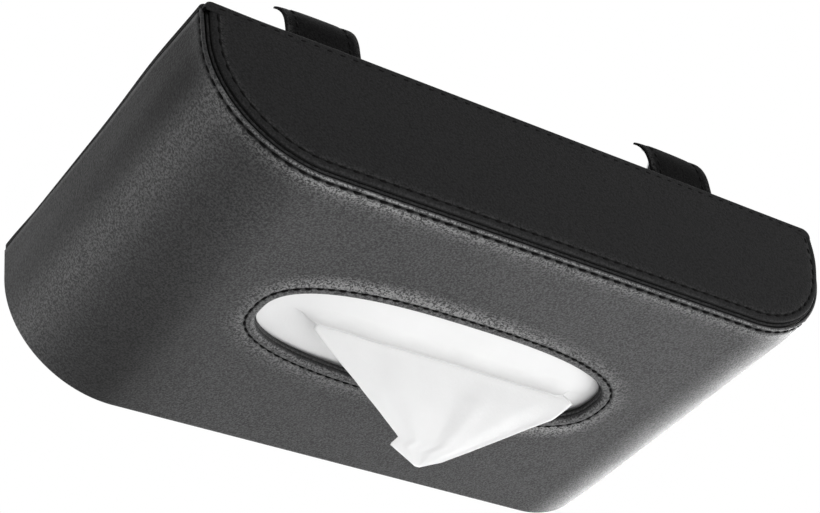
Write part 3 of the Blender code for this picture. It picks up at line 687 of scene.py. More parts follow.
def make_wrap():
    """The wrap's leather: rolled and stitched along both seams, sunk round the slot's stitching."""
    profile = case_profile(0.0, WRAP_TOP)
    skin = Skin()
    faces = []
    lengths = [0.0]
    for a, b in zip(profile, profile[1:]):
        lengths.append(lengths[-1] + math.hypot(b[0] - a[0], b[1] - a[1]))

    def add(place, y, rise=0.0, highlight=0.0, sunk=0.0):
        x, z, nx, nz = place
        rise += unevenness(x, y, z) * min(1.0, max(0.0, (WRAP_EDGE - abs(y)) / EVEN_EDGE)) + swell(y, nx, nz)
        bend = math.atan2(-nz, -nx) if nx < 0 else math.pi / 2 + (x + FACE_HALF) / CORNER_RADIUS
        bend = math.degrees(bend)
        far = ramp(y, -WRAP_EDGE, 2 * WRAP_EDGE)
        # Painted shade over the left bend, on the far face and on the left wall toward its near top, and a
        # painted highlight band along the bend's start
        shade = part(SHADE_BEND, far) * bell(bend, part(SHADE_BEND_MIDDLE, far), part(SHADE_BEND_SPREAD, far))
        shade += FACE_SHADE * far * ramp(-nz, FLAT_FROM, FLAT_SPAN)
        shade += END_SHADE * ramp(-nx, FLAT_FROM, FLAT_SPAN) * (1 - far) * ramp(y, -64, 14)
        return skin.add((x + nx * rise, y, z + nz * rise + near_lift(y, z)),
                        highlight + BEND_HIGHLIGHT * bell(bend, BEND_HIGHLIGHT_MIDDLE, BEND_HIGHLIGHT_SPREAD),
                        sunk + (1 - sunk) * shade)

    inner_lines = {}
    for side, edge_rows in ((-1, SEAM_ROWS), (1, FAR_ROWS)):
        near = side < 0
        strip = []
        for inset, rise, highlight, sunk in edge_rows:
            line = []
            for place, length in zip(profile, lengths):
                stitch_wave = math.cos(2 * math.pi * length / SEAM_PITCH)
                pucker = SEAM_PUCKER * stitch_wave * bell(inset, 2, 0.9) * near
                # The ridge's painted highlight is stronger toward the near seam's left end and weaker where
                # the wrap stands upright, and the groove's painted shade is lighter there
                fade = 0.65 - 0.25 * smoothstep(abs(place[2]) * 3) + 0.55 * bell(place[0], -68, 36) * near
                upright = ramp(abs(place[2]), 0.72, 0.26)
                line.append(add(place, side * (WRAP_EDGE - inset), rise + pucker,
                                highlight * fade * (1 - 0.9 * upright), sunk * (1 - 0.35 * upright)))
            strip.append(line)
        faces += bridge(strip)
        inner_lines[side] = strip[-1]

    near_line, far_line = inner_lines[-1], inner_lines[1]
    inner_edge = WRAP_EDGE - SEAM_ROWS[-1][0]
    columns = [-inner_edge + 2 * inner_edge * k / END_COLUMNS for k in range(1, END_COLUMNS)]

    def end_patch(first, last):
        grid = []
        for k in range(first, last + 1):
            grid.append([near_line[k]] + [add(profile[k], y) for y in columns] + [far_line[k]])
        faces.extend(bridge(grid))
        return grid

    start = WALL_STEPS + ARC_STEPS
    end = start + FACE_STEPS
    left = end_patch(0, start)
    right = end_patch(end, len(profile) - 1)
    border = far_line[start:end + 1][::-1] + left[-1][1:-1][::-1]
    border += near_line[start:end + 1] + right[0][1:-1]

    points = skin.points
    angles = [math.atan2(points[k][1] / inner_edge, points[k][0] / FACE_HALF) for k in border]
    rings = []
    for growth, rise, highlight, sunk in SLOT_ROWS:
        ring = []
        for angle in angles:
            x, y = slot_point(angle, BINDING + growth)
            pucker = SLOT_PUCKER * math.cos(angle * SLOT_PUCKERS) * bell(growth, 0.6, 0.8)
            # The painted highlight round the slot is stronger at two places, where the light falls
            fade = 0.5 + 1.5 * near_turn(angle, -115, 34) + 1.4 * near_turn(angle, 42, 24)
            ring.append(add((x, -CASE_HEIGHT, 0.0, -1.0), y, rise + pucker, highlight * fade, sunk))
        rings.append(ring)
    slot_edge = rings[-1]
    for share in FACE_RINGS:
        ring = []
        for inner, outer in zip(slot_edge, border):
            x, y = (part((points[inner][axis], points[outer][axis]), share) for axis in (0, 1))
            ring.append(add((x, -CASE_HEIGHT, 0.0, -1.0), y))
        rings.append(ring)
    faces += bridge(rings + [border], closed=True)

    wrap = skin.piece("wrap_hide", faces, LEATHER_LOOK)
    face_out(wrap, Vector((0, 0, -CASE_HEIGHT * MM * 0.2)))
    thicken(wrap, LEATHER, -1.0)
    settle(wrap, "case", ["wrap_leather"])


def face_out(piece, centre):
    """Turns an open shell so that it faces away from a point inside it."""
    vote = sum((face.center - centre).dot(face.normal) * face.area for face in piece.data.polygons)
    if vote < 0:
        piece.data.flip_normals()


# The slot's rolled edge: growth over the hole, rise over the face, painted highlight on the roll and painted
# shade down into the hole
BINDING_ROWS = [
    (2.76, -3.2, 0, 0.6), (2.76, -0.24, 0, 0.5), (2.6, -0.06, 0, 0.2), (2.35, 0.08, 0.2, 0),
    (1.95, 0.16, 0.3, 0), (1.5, 0.18, 0.25, 0), (1.05, 0.16, 0.25, 0), (0.65, 0.08, 0.4, 0),
    (0.35, -0.08, 0.5, 0), (0.12, -0.34, 0.3, 0), (0, -0.75, 0.1, 0.3), (-0.04, -1.3, 0, 0.6),
    (0.06, -1.7, 0, 0.9), (-0.1, -1.95, 0.1, 0.2), (-0.16, -2.3, 0.1, 0.2), (0, -2.7, 0, 0.8),
    (0.05, -3.2, 0, 0.8),
]
BINDING_STEPS = 240


def make_binding():
    """The rolled leather edge through the slot."""
    skin = Skin()
    for k in range(BINDING_STEPS):
        for growth, rise, highlight, sunk in BINDING_ROWS:
            skin.add((*slot_point(2 * math.pi * k / BINDING_STEPS, growth), -CASE_HEIGHT - rise), highlight, sunk)
    size = len(BINDING_ROWS)
    lines = [range(k * size, (k + 1) * size) for k in range(BINDING_STEPS)]
    ring = skin.piece("slot_roll", bridge(lines + lines[:1], closed=True), LEATHER_LOOK)
    settle(ring, "case", ["slot_binding"])


# A bound edge's section: distance in from the case's outline, distance from the middle plane, painted
# highlight on its crests and painted shade in its groove and sides
RIM_ROWS = [
    (1.1, 59.9, 0, 1), (2.44, 59.9, 0, 1), (2.46, 60.9, 0, 0.9), (2.4, 61.06, 0.1, 0.4),
    (2.26, 61.18, 0.25, 0), (2.1, 61.2, 0.15, 0.2), (2, 61.1, 0, 0.6), (1.9, 61.1, 0, 0.6),
    (1.78, 61.22, 0.2, 0.1), (1.55, 61.28, 0.25, 0), (1.3, 61.26, 0.2, 0), (1.08, 61.16, 0.1, 0.1),
    (0.98, 60.95, 0, 0.25),
]


def make_rim(name, node, side):
    """A bound edge between the wrap and a side panel, with the fine line of its fold: a groove with painted
    shade between crests with painted highlight.
    """
    lines = [case_profile(inset, RIM_TOP) for inset, _, _, _ in RIM_ROWS]
    skin = Skin()
    for station in zip(*lines):
        for (x, z, _, _), (_, y, highlight, sunk) in zip(station, RIM_ROWS):
            skin.add((x, side * y, z + near_lift(side * y, z)), highlight, sunk)
    rim = skin.piece(name, loop_faces(len(lines[0]), len(RIM_ROWS), cap_ends=True), PANEL_SHADE_LOOK)
    settle(rim, "case", [node])


# A panel from its back over its turned edge to its face: distance in from its outline, depth, painted
# highlight and painted shade
PANEL_ROWS = [
    (0.9, 2.2, 0, 0), (0.9, 0, 0, 0.6), (0.06, 0, 0, 0.8), (0, 0.14, 0, 0.9), (0, 0.8, 0, 0.9),
    (0, 1.46, 0, 1), (-0.9, 1.52, 0, 1), (-1.07, 1.62, 0, 0.95), (-1.15, 1.82, 0, 0.7), (-1.15, 2.1, 0, 0.35),
    (-1.05, 2.42, 0.12, 0), (-0.85, 2.7, 0.12, 0), (-0.55, 2.9, 0.05, 0), (-0.15, 3.01, 0, 0),
    (0.2, 3.06, 0, 0.05), (0.45, 3.03, 0, 0.2), (0.68, 2.96, 0, 0.5), (0.9, 2.91, 0, 0.85),
    (1.15, 2.96, 0, 0.5), (1.5, 3.06, 0.3, 0), (2.1, 3.11, 0.12, 0), (3.8, 3.15, 0, 0), (6, 3.18, 0, 0),
]
PANEL_SPINE = 66.0
PANEL_SPINE_Z = -25.0
PANEL_PADDING = 0.12
PANEL_EVEN_ROWS = 21
PANEL_FLARE = 1.3


def drawn_in(loop, share):
    """A panel's outline, part of the way to the line along its middle."""
    points = []
    for x, z in loop:
        middle = min(PANEL_SPINE, max(-PANEL_SPINE, x * 0.75))
        points.append((x + (middle - x) * share, z + (PANEL_SPINE_Z - z) * share))
    return points


def make_panel(name, node, side, body):
    """A side panel: leather turned over its edge, topstitched, gently padded in its middle."""
    edge = [(panel_loop(reach), depth, highlight, sunk) for reach, depth, highlight, sunk in PANEL_ROWS]
    (back, back_depth, _, _), (front, front_depth, _, _) = edge[0], edge[-1]
    loops = [(drawn_in(back, share), back_depth, 0.0, 0.0) for share in (1.0, 0.5)] + edge
    for share in (0.12, 0.26, 0.42, 0.6, 0.8, 1.0):
        loops.append((drawn_in(front, share), front_depth + PANEL_PADDING * smoothstep(share), 0.0, 0.0))
    skin = Skin()
    for row, (loop, depth, highlight, sunk) in enumerate(loops):
        for x, z in loop:
            wave = unevenness(x, 300 * side, z) * ramp(row, PANEL_EVEN_ROWS, 6)
            y = side * (PANEL_BACK + depth + wave)
            flare = PANEL_FLARE * ramp(z, -22, 14) * ramp(x, 104, 9) * (side < 0)
            # Painted shade darkens the turned edge and the stitch groove, and painted highlight lightens thin
            # lines beside them
            skin.add((x + flare, y, z + near_lift(y, z)), highlight, sunk)
    panel = skin.piece(name, loop_faces(len(loops), len(front)), PANEL_SHADE_LOOK)
    settle(panel, body, [node])


# Clips: each move along the bent strip is a length, the angle that it turns and its steps
HEAD_MOVES = [(11.0, 0, 8), (12.0 * math.radians(48), -math.radians(48), 16)]
ARM_MOVES = [
    (3.0 * math.radians(87), -math.radians(87), 14), (5.7, 0, 3),
    (22.0 * math.radians(35), math.radians(35), 14), (26.0, 0, 10),
    (8.0 * math.radians(45), math.radians(45), 8), (4.0, 0, 2),
]
SPRING_HALF, SPRING_NECK, SPRING_TIP = 11.0, 3.5, 2.2
SPRING_THICK, SPRING_EASE = 0.8, 0.12

# Half of the cover's width: distance across, rise over the strip and painted highlight
COVER_COLUMNS = [
    (-13, 0.25, 0), (-12.95, 0.62, 0.1), (-12.75, 0.88, 0.6), (-12.3, 0.99, 1), (-11.6, 1.03, 0.5),
    (-10.3, 1, 0), (-9.5, 0.9, 0), (-9, 0.84, 0), (-8.5, 0.9, 0), (-7.8, 1, 0), (-6, 1.06, 0), (-3.5, 1.1, 0),
    (0, 1.12, 0),
]
COVER_FOOT = 0.85
COVER_BACK = 0.7


def trace(moves, y=CLIP_Y, z=CLIP_Z, heading=math.pi / 2):
    """Points along a bent strip, each with its heading."""
    points = [(y, z, heading)]
    for length, turn, steps in moves:
        for _ in range(steps):
            middle = heading + turn / steps / 2
            chord = length / steps
            if turn:
                half = turn / steps / 2
                chord *= math.sin(abs(half)) / abs(half)
            y += chord * math.cos(middle)
            z += chord * math.sin(middle)
            heading += turn / steps
            points.append((y, z, heading))
    return points


def stood_off(x, place, off):
    """A point across a bent strip and off its middle."""
    y, z, heading = place
    return x, y - math.sin(heading) * off, z + math.cos(heading) * off


def lifted(path, side, across=0.0):
    """A clip's path with its crest raised as in the photograph, back on its line before the arm's end."""
    rise, tilt = CREST_LIFT[side]
    rise += tilt * across / 12 - CREST_DROOP * ramp(-across, 7, 6)
    crest = len(trace(HEAD_MOVES)) - 1
    moved = []
    for k, (y, z, heading) in enumerate(path):
        share = smoothstep(k / crest) if k <= crest else 1 - ramp(k, crest, 24)
        moved.append((y, z + rise * share, heading))
    return moved


def make_cover(side, x):
    """The leather over a clip's upright, with its side seams sunk and its edge turned over the top."""
    head = trace(HEAD_MOVES)
    foot = sum(place[1] < COVER_FOOT for place in head)
    columns = COVER_COLUMNS + [(-a, b, c) for a, b, c in COVER_COLUMNS[:-1]][::-1]
    rows = len(head) - foot
    skin = Skin()
    for row in range(rows):
        share = row / (rows - 1)
        base = 1 - smoothstep(share / 0.45)
        crest = ramp(share, 0.55, 0.35)
        for low in (False, True):
            for across, rise, highlight in (columns[::-1] if low else columns):
                off = COVER_BACK if low else COVER_BACK + rise * (1.0 - 0.2 * share ** 3)
                reach = across * (0.985 - 0.01 * smoothstep((share - 0.8) * 5))
                reach -= 0.65 * ramp(share, 0.55, 0.45) * ramp(-across, 9, 4)
                # Painted shade darkens the cover's inner side and its crest; painted highlight lightens its
                # rounded edges and, fading out, its foot
                skin.add(stood_off(x + reach, lifted(head, side, across)[foot + row], off),
                         0.0 if low else max(highlight * (1 - crest), 0.15 * base), 0.8 if low else 0.9 * crest)
    cover = skin.piece(f"clip_wrap_{side}", loop_faces(rows, 2 * len(columns), cap_ends=True), CLIP_SHADE_LOOK)
    settle(cover, f"clip_{side}", [f"clip_cover_{side}"])


# The back plate's leather from its turned edge to its face: distance in, height, painted highlight and
# painted shade
PLATE_ROWS = [
    (5, -0.9, 0, 0), (0.9, -0.9, 0, 0), (0.9, -2, 0, 0.3), (0.08, -2, 0, 0.7), (0, -1.86, 0, 0.6),
    (0, -1.3, 0.3, 0), (0.09, -1.12, 0, 0.9), (0, -0.96, 0.3, 0), (0, -0.5, 0.4, 0), (0.1, -0.2, 0.8, 0),
    (0.32, -0.05, 0.6, 0), (0.8, 0, 0.1, 0), (2.2, 0, 0, 0), (2.7, -0.05, 0, 0.3), (3, -0.1, 0, 0.6),
    (3.3, -0.05, 0, 0.3), (3.9, 0, 0, 0), (5, 0, 0, 0),
]
PLATE_CORNER = 1.3
SLIT = ((-12, -1.6), (12, -1.6), (12, 1.6), (-12, 1.6))
RIVET_HOLE = 3.7
HOLE_DEPTHS = (-1.5, 1.0)


def make_plate():
    """The back plate's leather: edge turned under, stitch line sunk, holes for clips and rivets."""
    corner_steps = 8
    edge_steps = 40
    skin = Skin()
    for inset, z, highlight, sunk in PLATE_ROWS:
        radius = max(0.4, PLATE_CORNER - inset)
        half_x = CASE_LENGTH / 2 - inset
        span_x, span_y = half_x - radius, WRAP_EDGE - inset - radius
        outline = []
        for sign_x, sign_y, start in ((1, 1, 0), (-1, 1, 90), (-1, -1, 180), (1, -1, 270)):
            outline += arc(sign_x * span_x, sign_y * span_y, radius, start, start + 90, corner_steps)
            if start == 90:
                outline += [(-half_x, span_y - 2 * span_y * k / edge_steps) for k in range(1, edge_steps)]
        for x, y in outline:
            skin.add((x - left_bulge(y) * ramp(-x, 95, 15), y, z), highlight, sunk)
    plate = skin.piece("back_hide", loop_faces(len(PLATE_ROWS), len(outline), cap_ends=True), PANEL_SHADE_LOOK)
    for x in CLIPS.values():
        cut_through(plate, [(x + a, CLIP_Y + b) for a, b in SLIT])
        for offset in (-RIVET_OFFSET, RIVET_OFFSET):
            cut_through(plate, circle(x + offset, RIVET_Y, RIVET_HOLE, 40))
    for face in plate.data.polygons:
        face.use_smooth = abs(face.normal.z) < 0.999 or face.area < 2e-5
    settle(plate, "case", ["back_leather"])


def cut_through(piece, outline):
    """Cuts a straight-sided hole of the outline's form through the plate's leather."""
    loops = [(x, y, z) for z in HOLE_DEPTHS for x, y in outline]
    cutter = new_mesh_object("hole", loops, loop_faces(2, len(outline), cap_ends=True), PANEL_SHADE_LOOK)
    step = piece.modifiers.new("hole", "BOOLEAN")
    step.operation = "DIFFERENCE"
    step.solver = "EXACT"
    step.object = cutter
    baked(piece)
    bpy.data.objects.remove(cutter)


# The hinge strip's section, out over the roll and back inside: y, z, painted highlight and painted shade
HINGE_ROWS = [
    (-60.85, -0.1, 0, 0.3), (-61.2, -0.02, 0, 0.3), (-61.8, 0, 0, 0.4), (-62.35, -0.06, 0, 0.5),
    (-62.75, -0.22, 0, 0.4), (-63.02, -0.48, 0, 0.15), (-63.18, -0.85, 0.05, 0.05), (-63.2, -1.15, 0.02, 0),
    (-63.2, -1.35, 0, 0.1), (-63.22, -1.6, 0, 0), (-63.23, -1.9, 0, 0), (-63.22, -2.6, 0, 0),
    (-63.205, -3.4, 0, 0), (-63.19, -4.3, 0, 0), (-63.1, -4.6, 0, 0), (-63.05, -4.4, 0, 0.5),
    (-63.08, -2.7, 0, 0.5), (-62.95, -1.95, 0, 0.6), (-62.5, -1.2, 0, 0.6), (-62.1, -0.6, 0, 0.6),
    (-61.3, -0.5, 0, 0.6),
]
HINGE_FOOT = -4.6
HINGE_ENDS = (-115.0, 113.9)
HINGE_ROUNDS = (2.3, 2.4)


def make_hinge():
    """The flap's leather hinge: from the plate's edge over a soft roll and down onto the panel."""
    left_round, right_round = HINGE_ROUNDS
    first, last = HINGE_ENDS[0] + left_round, HINGE_ENDS[1] - right_round
    steps = 10
    ease = [math.sin(math.pi / 2 * k / steps) for k in range(steps + 1)]
    xs = [HINGE_ENDS[0] + left_round * (1 - share) for share in ease[:0:-1]]
    xs += [first + (last - first) * k / 120 for k in range(121)]
    xs += [last + right_round * share for share in ease[1:]]
    skin = Skin()
    for x in xs:
        drop = 0.33 + 0.27 * ramp(x, 40, 60) + 0.4 * bell(x, -97, 12)
        for radius, over in ((left_round, first - x), (right_round, x - last)):
            drop += radius * (1 - math.sqrt(max(0.0, 1 - (max(0.0, over) / radius) ** 2)))
        for y, z, highlight, sunk in HINGE_ROWS:
            skin.add((x, y, HINGE_FOOT + (z - HINGE_FOOT) * (1 + drop / HINGE_FOOT)), highlight, sunk)
    hinge = skin.piece("hinge_leather", loop_faces(len(xs), len(HINGE_ROWS), cap_ends=True), PANEL_SHADE_LOOK)
    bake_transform(hinge)
    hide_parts("hinge_bead")


# A rivet's radius and height, the head's down from its top and the tail's up from its bottom
RIVET_HEAD = [
    (0, 0), (0.9, 0.01), (1.9, 0.05), (2.8, 0.15), (3.3, 0.28), (3.5, 0.45), (3.42, 0.62), (3.2, 0.7),
    (1.5, 0.7),
]
RIVET_TAIL = [
    (1.5, 0.7), (2.45, 0.7), (2.6, 0.5), (2.5, 0.15), (2.2, 0), (1.2, 0.05), (0.7, 0.3), (0, 0.3),
]


def make_rivet(node):
    """A turned rivet: low domed head let into the leather, shank and rolled tail."""
    low, high = (np.array(corner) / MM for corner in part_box(node))
    x, y = (low[:2] + high[:2]) / 2
    profile = [(radius, high[2] - depth) for radius, depth in RIVET_HEAD]
    profile += [(radius, low[2] + height) for radius, height in RIVET_TAIL]
    count = 36
    points = [(a, b, z) for radius, z in profile for a, b in circle(x, y, radius, count)]
    name = node.replace("clip_rivet", "domed_rivet")
    rivet = new_mesh_object(name, points, loop_faces(len(profile), count), RIVET_LOOK)
    settle(rivet, "case", [node])


def make_spring(side, x):
    """A clip's spring: one bent strip with eased edges, narrow over the crest and wider at its paddle."""
    head = trace(HEAD_MOVES)
    path = lifted(head + trace(ARM_MOVES, *head[-1])[1:], side)
    crest = len(head) + 14
    edge = SPRING_THICK / 2
    points = []
    for k, place in enumerate(path):
        if k < len(head):
            half = SPRING_HALF - (SPRING_HALF - SPRING_NECK) * ramp(k, len(head) - 5, 5)
        else:
            flare = max(0.0, (k - crest) / (len(path) - 1 - crest))
            half = SPRING_NECK * (1 + min(1.0, 2 * flare)) - SPRING_TIP * ramp(k, len(path) - 4, 4) ** 2
        lower = [(-half, SPRING_EASE - edge), (-half + SPRING_EASE, -edge)]
        lower += [(-across, off) for across, off in lower[::-1]]
        for across, off in lower + [(across, -off) for across, off in lower[::-1]]:
            points.append(stood_off(x + across, place, off))
    faces = loop_faces(len(path), 8, cap_ends=True)
    spring = new_mesh_object(f"clip_strip_{side}", points, faces, STEEL_LOOK)
    settle(spring, f"clip_{side}", [f"clip_spring_{side}"])


# Tissues
def mirrored(points):
    """The points on the other side of the middle, in the opposite order."""
    return [(-y, z) for y, z in points][::-1]


def make_pack():
    """The folded pack: a soft-edged stack, its mouth drawn down round the sheet along the middle."""
    low, high = (np.array(corner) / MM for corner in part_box("tissue_pack"))
    half_y = (high[1] - low[1]) / 2
    middle = low[2] + (high[2] - low[2]) / 2
    stations = 61
    foot = arc(PACK_ROUND - half_y, low[2] + PACK_ROUND, PACK_ROUND, 180, 270, 8)
    shoulder = arc(half_y - PACK_ROUND, high[2] - PACK_ROUND, PACK_ROUND, 0, 90, 8)
    roof = shoulder + [(y, high[2]) for y in (24, 0, -24)] + mirrored(shoulder)
    near_base, far_base = ([(y, low[2] + 0.2 * math.sin(y * 0.4)) for y in ys]
                           for ys in ((-36, -28, -20, -14, -9), (7, 14, 20, 28, 36)))
    points = []
    for k in range(stations):
        share = k / (stations - 1)
        x = low[0] + (high[0] - low[0]) * share
        ease = 1.0 - 0.10 * (max(0.0, abs(2 * share - 1) - PACK_EVEN) / (1 - PACK_EVEN)) ** 2
        parted = ramp(MOUTH_HALF - abs(x - MOUTH_MIDDLE), 0, MOUTH_EASE)
        lips = []
        for side in (-1, 1):
            lip = SHEET_EXIT_Y + side * (0.008 + 0.17 * parted)
            fillet = []
            for turn in range(11):
                angle = math.pi / 2 * turn / 10
                fillet.append((lip + side * LIP_FILLET * (1 - math.sin(angle)),
                               low[2] - LIP_FILLET * (1 - math.cos(angle)) * parted))
            inside = lip - side * 0.06 * parted
            lips.append(fillet + [(inside, low[2] - (LIP_FILLET - 0.1) * parted), (inside, low[2] + 0.5)])
        half_pocket = 2.6 + 3.2 * parted
        pocket = [(-half_pocket, low[2] + 1.8 - 1.2 * parted),
                  (-half_pocket, low[2] + max(1.9, POCKET_HEIGHT * parted))]
        section = foot + near_base + lips[0] + pocket + mirrored(pocket) + lips[1][::-1] + far_base
        section += mirrored(foot)
        for y, z in section + roof:
            sway = 0.35 * noise.noise(Vector((x, y, z)) / 15.0)
            points.append((x, y * ease, middle + (z - middle) * ease + sway))
    count = len(points) // stations
    pack = new_mesh_object("folded_pack", points, loop_faces(stations, count, cap_ends=True), PACK_SHADE_LOOK)
    settle(pack, "case", ["tissue_pack"])


def make_sheet():
    """The sheet: flat layers in the pack, a straight run down, then the corner drawn through the slot."""
    path = []
    for layer in range(SHEET_LAYERS):
        start, end = SHEET_FOLDS if layer % 2 == 0 else SHEET_FOLDS[::-1]
        if layer == SHEET_LAYERS - 1:
            end = SHEET_EXIT_Y
        z = LAYERS_TOP - LAYER_STEP * layer
        path += [(z, start + (end - start) * k / 6, -SHEET_HALF, SHEET_HALF, 0.0) for k in range(7)]
    path += [(-19.0 - 25.0 * k / 8, SHEET_EXIT_Y, -SHEET_HALF, SHEET_HALF, 0.0) for k in range(1, 9)]
    path += [
        (-44.4, SHEET_EXIT_Y, -43.7, 46.0, 0.04), (-45.6, SHEET_EXIT_Y, -44.2, 47.4, 0.06),
        (-46.9, SHEET_EXIT_Y, -44.5, 49.4, 0.08), (-48.2, SHEET_EXIT_Y + 0.05, -44.9, 51.4, 0.12),
    ]
    rows, lefts, rights = zip(*SHEET_ROWS)
    steps = 44
    for share in (k / steps for k in range(steps + 1)):
        path.append((-CASE_HEIGHT - share * SHEET_DROP, -1.0 + share * (SHEET_LEAN + 1.0),
                     float(np.interp(share, rows, lefts)), float(np.interp(share, rows, rights)),
                     0.2 + 0.8 * smoothstep(share / 0.3)))
    columns = 72
    points = []
    for z, y, left, right, freedom in path:
        width = right - left
        depth = 0.9 * width / 95.0 * freedom
        for k in range(columns + 1):
            share = k / columns
            x = left + width * share
            fold = math.sin(2 * math.pi * (2.2 * share + 0.15))
            fold += 0.35 * math.sin(2 * math.pi * (5.1 * share + 0.4))
            ripple = 0.25 * freedom * noise.noise(Vector((x, 0, z)) / 9.0)
            points.append((x, y + depth * fold * 0.8 + ripple, z))
    faces = loop_faces(len(path), columns + 1, closed=False)
    sheet = new_mesh_object("drawn_tissue", points, faces, SHEET_LOOK)
    thicken(sheet, SHEET_THICKNESS, 0.0)
    settle(sheet, "sheet", ["tissue_sheet"])


def nearest_direction(pairs, axes):
    """A function that gives the direction paired with the point nearest to a place, along two axes."""
    def direction(centre):
        flat = Vector([value * used for value, used in zip(centre, axes)])
        return min(pairs, key=lambda pair: (pair[0] - flat).length_squared)[1]
    return direction


def clip_stitch_line(side, across=0.0):
    """The part of a clip's path that its cover's stitches follow."""
    return [place for place in lifted(trace(HEAD_MOVES), side, across) if place[1] >= 1.6][:-4]


def lay_all_stitches():
    """Stitches along the seam, round the slot, on both panels, the plate and the clips."""
    tree, sockets = stitch_tree()
    stitch = stitch_shape()
    case = Stitching("case_stitching", "case", 11)
    flap = Stitching("flap_stitching", "flap", 23)
    profile = case_profile(STITCH_SINK, WRAP_TOP - 1.0)
    pairs = [(Vector((x, 0, z)), Vector((nx, 0, nz))) for x, z, nx, nz in profile]
    wrap_out = nearest_direction(pairs, (1, 0, 1))
    seam_y = SEAM_STITCH_INSET - WRAP_EDGE
    case.row([(x, seam_y, z + near_lift(seam_y, z)) for x, z, _, _ in profile], wrap_out, SEAM_PITCH)
    ring = [(*slot_point(2 * math.pi * k / 360, BINDING), -CASE_HEIGHT + STITCH_SINK) for k in range(360)]
    case.row(ring, lambda centre: (0, 0, -1), SLOT_PITCH, SLOT_STITCH, closed=True)
    for side, group in ((-1, flap), (1, case)):
        face = side * (PANEL_BACK + PANEL_STITCH_DEPTH)
        line = [(x, face, z + near_lift(face, z)) for x, z in panel_loop(PANEL_STITCH_INSET)]
        group.row(line, lambda centre, side=side: (0, side, 0), SEAM_PITCH, closed=True)
    half_x = CASE_LENGTH / 2 - PLATE_STITCH_INSET
    half_y = WRAP_EDGE - PLATE_STITCH_INSET
    plate = [(-half_x, -half_y, 0), (half_x, -half_y, 0), (half_x, half_y, 0), (-half_x, half_y, 0)]
    for a, b in zip(plate, plate[1:] + plate[:1]):
        case.row([a, b], lambda centre: (0, 0, 1), SEAM_PITCH)
    case.lay(tree, sockets, stitch)
    flap.lay(tree, sockets, stitch)
    for number, (side, x) in enumerate(CLIPS.items()):
        group = Stitching(f"clip_stitching_{side}", f"clip_{side}", 40 + number)
        pairs = [(Vector((0, y, z)), Vector((0, -math.sin(heading), math.cos(heading))))
                 for y, z, heading in clip_stitch_line(side)]
        cover_out = nearest_direction(pairs, (0, 1, 1))
        for edge in (-CLIP_STITCH_ACROSS, CLIP_STITCH_ACROSS):
            line = [stood_off(x + edge, place, CLIP_STITCH_RISE) for place in clip_stitch_line(side, edge)]
            group.row(line, cover_out, CLIP_PITCH, CLIP_STITCH)
        group.lay(tree, sockets, stitch)
    bpy.data.objects.remove(stitch)


# Studio: each lamp's place in metres, size and power
LAMPS = {
    "below": ((0.05, -0.60, -1.20), 1.0, 9.8),
    "front_level": ((0.10, -1.35, -0.03), 0.9, 8.6),
    "under_right": ((0.95, -0.10, -0.95), 0.9, 10.4),
    "under_far": ((0.85, 0.84, -0.75), 0.9, 3.2),
    "left_far": ((-1.10, 0.90, -0.15), 0.9, 10.2),
    "right_far": ((1.25, 0.75, 0.15), 0.8, 14.5),
    "overhead": ((0.10, 0.45, 1.35), 1.0, 6.0),
}
LAMP_TARGET = (0.0, 0.0, -0.03)
AMBIENT = 0.03
FLOOR_Z = -1600
FLOOR_HALF = 4000
FLOOR_GLOW = 0.9


def area_light(name, place, size, power):
    """A square lamp aimed at the part."""
    lamp = bpy.data.lights.new(name, "AREA")
    lamp.shape = "RECTANGLE"
    lamp.size = lamp.size_y = size
    lamp.energy = power
    light = bpy.data.objects.new(name, lamp)
    light.location = place
    light.rotation_euler = (Vector(LAMP_TARGET) - Vector(place)).to_track_quat("-Z", "Y").to_euler()
    bpy.context.scene.collection.objects.link(light)


def shown_rays(tree):
    """One for the rays that show the background: the camera's, mirrored and passed ones."""
    rays = tree.nodes.new("ShaderNodeLightPath")
    shown = rays.outputs["Is Camera Ray"]
    for kind in ("Is Glossy Ray", "Is Transmission Ray"):
        either = tree.nodes.new("ShaderNodeMath")
        either.operation = "MAXIMUM"
        tree.links.new(shown, either.inputs[0])
        tree.links.new(rays.outputs[kind], either.inputs[1])
        shown = either.outputs[0]
    return shown


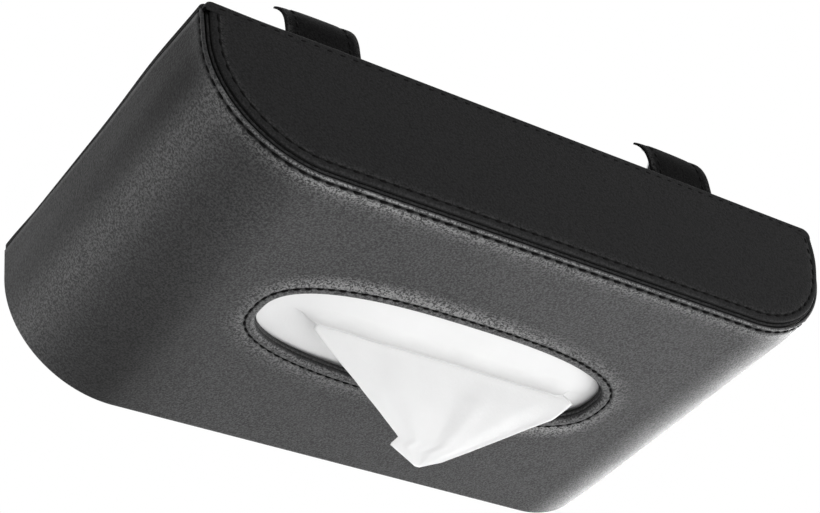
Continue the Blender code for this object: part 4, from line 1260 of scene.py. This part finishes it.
def make_world():
    """White where the background shows, and faint even light everywhere else."""
    world = bpy.data.worlds.new("studio")
    bpy.context.scene.world = world
    world.use_nodes = True
    tree = world.node_tree
    tree.nodes.clear()
    output = tree.nodes.new("ShaderNodeOutputWorld")
    choose = tree.nodes.new("ShaderNodeMixShader")
    tree.links.new(shown_rays(tree), choose.inputs["Fac"])
    for number, strength in ((1, AMBIENT), (2, 1.0)):
        light = tree.nodes.new("ShaderNodeBackground")
        light.inputs["Color"].default_value = (1, 1, 1, 1)
        light.inputs["Strength"].default_value = strength
        tree.links.new(light.outputs[0], choose.inputs[number])
    tree.links.new(choose.outputs[0], output.inputs["Surface"])


def make_floor():
    """A floor far below that shows as white as the background."""
    shader = Shader("pale_floor")
    shader.finish(Base_Color=shader.mix(shader.noise(2.0, 3.0), grey(0.80), grey(0.86)), Roughness=0.9,
                  Emission_Color=(1.0, 1.0, 1.0, 1.0),
                  Emission_Strength=shader.math("MULTIPLY", shown_rays(shader.tree), FLOOR_GLOW))
    corners = [(a * FLOOR_HALF, b * FLOOR_HALF, FLOOR_Z) for a, b in ((-1, -1), (1, -1), (1, 1), (-1, 1))]
    floor = new_mesh_object("floor", corners, [(0, 1, 2, 3)], shader.material)


def make_camera():
    """The photograph's camera, as fitted to the holder's outline."""
    camera_data = bpy.data.cameras.new("camera")
    camera_data.sensor_width = SENSOR_WIDTH
    camera_data.lens = LENS
    camera_data.clip_start = 0.01
    camera_data.clip_end = 20.0
    camera = bpy.data.objects.new("camera", camera_data)
    turn = Matrix(CAMERA_AXES) @ Matrix.Rotation(VIEW_RISE, 3, "X") @ Matrix.Rotation(VIEW_TURN, 3, "Y")
    camera.matrix_world = Matrix.Translation(CAMERA_PLACE) @ turn.to_4x4()
    bpy.context.scene.collection.objects.link(camera)
    bpy.context.scene.camera = camera
    bpy.context.scene.view_settings.view_transform = "Standard"


dress_frame()
make_wrap()
make_binding()
make_plate()
make_hinge()
for rivet_number in range(1, 5):
    make_rivet(f"clip_rivet_{rivet_number}")
make_rim("near_edge_roll", "near_rim", -1)
make_rim("far_edge_roll", "far_rim", 1)
make_panel("flap_hide", "flap_leather", -1, "flap")
make_panel("far_hide", "far_leather", 1, "case")
for clip_side, clip_x in CLIPS.items():
    make_cover(clip_side, clip_x)
    make_spring(clip_side, clip_x)
make_pack()
make_sheet()
lay_all_stitches()
make_world()
make_floor()
for lamp_name, lamp in LAMPS.items():
    area_light(lamp_name, *lamp)
make_camera()
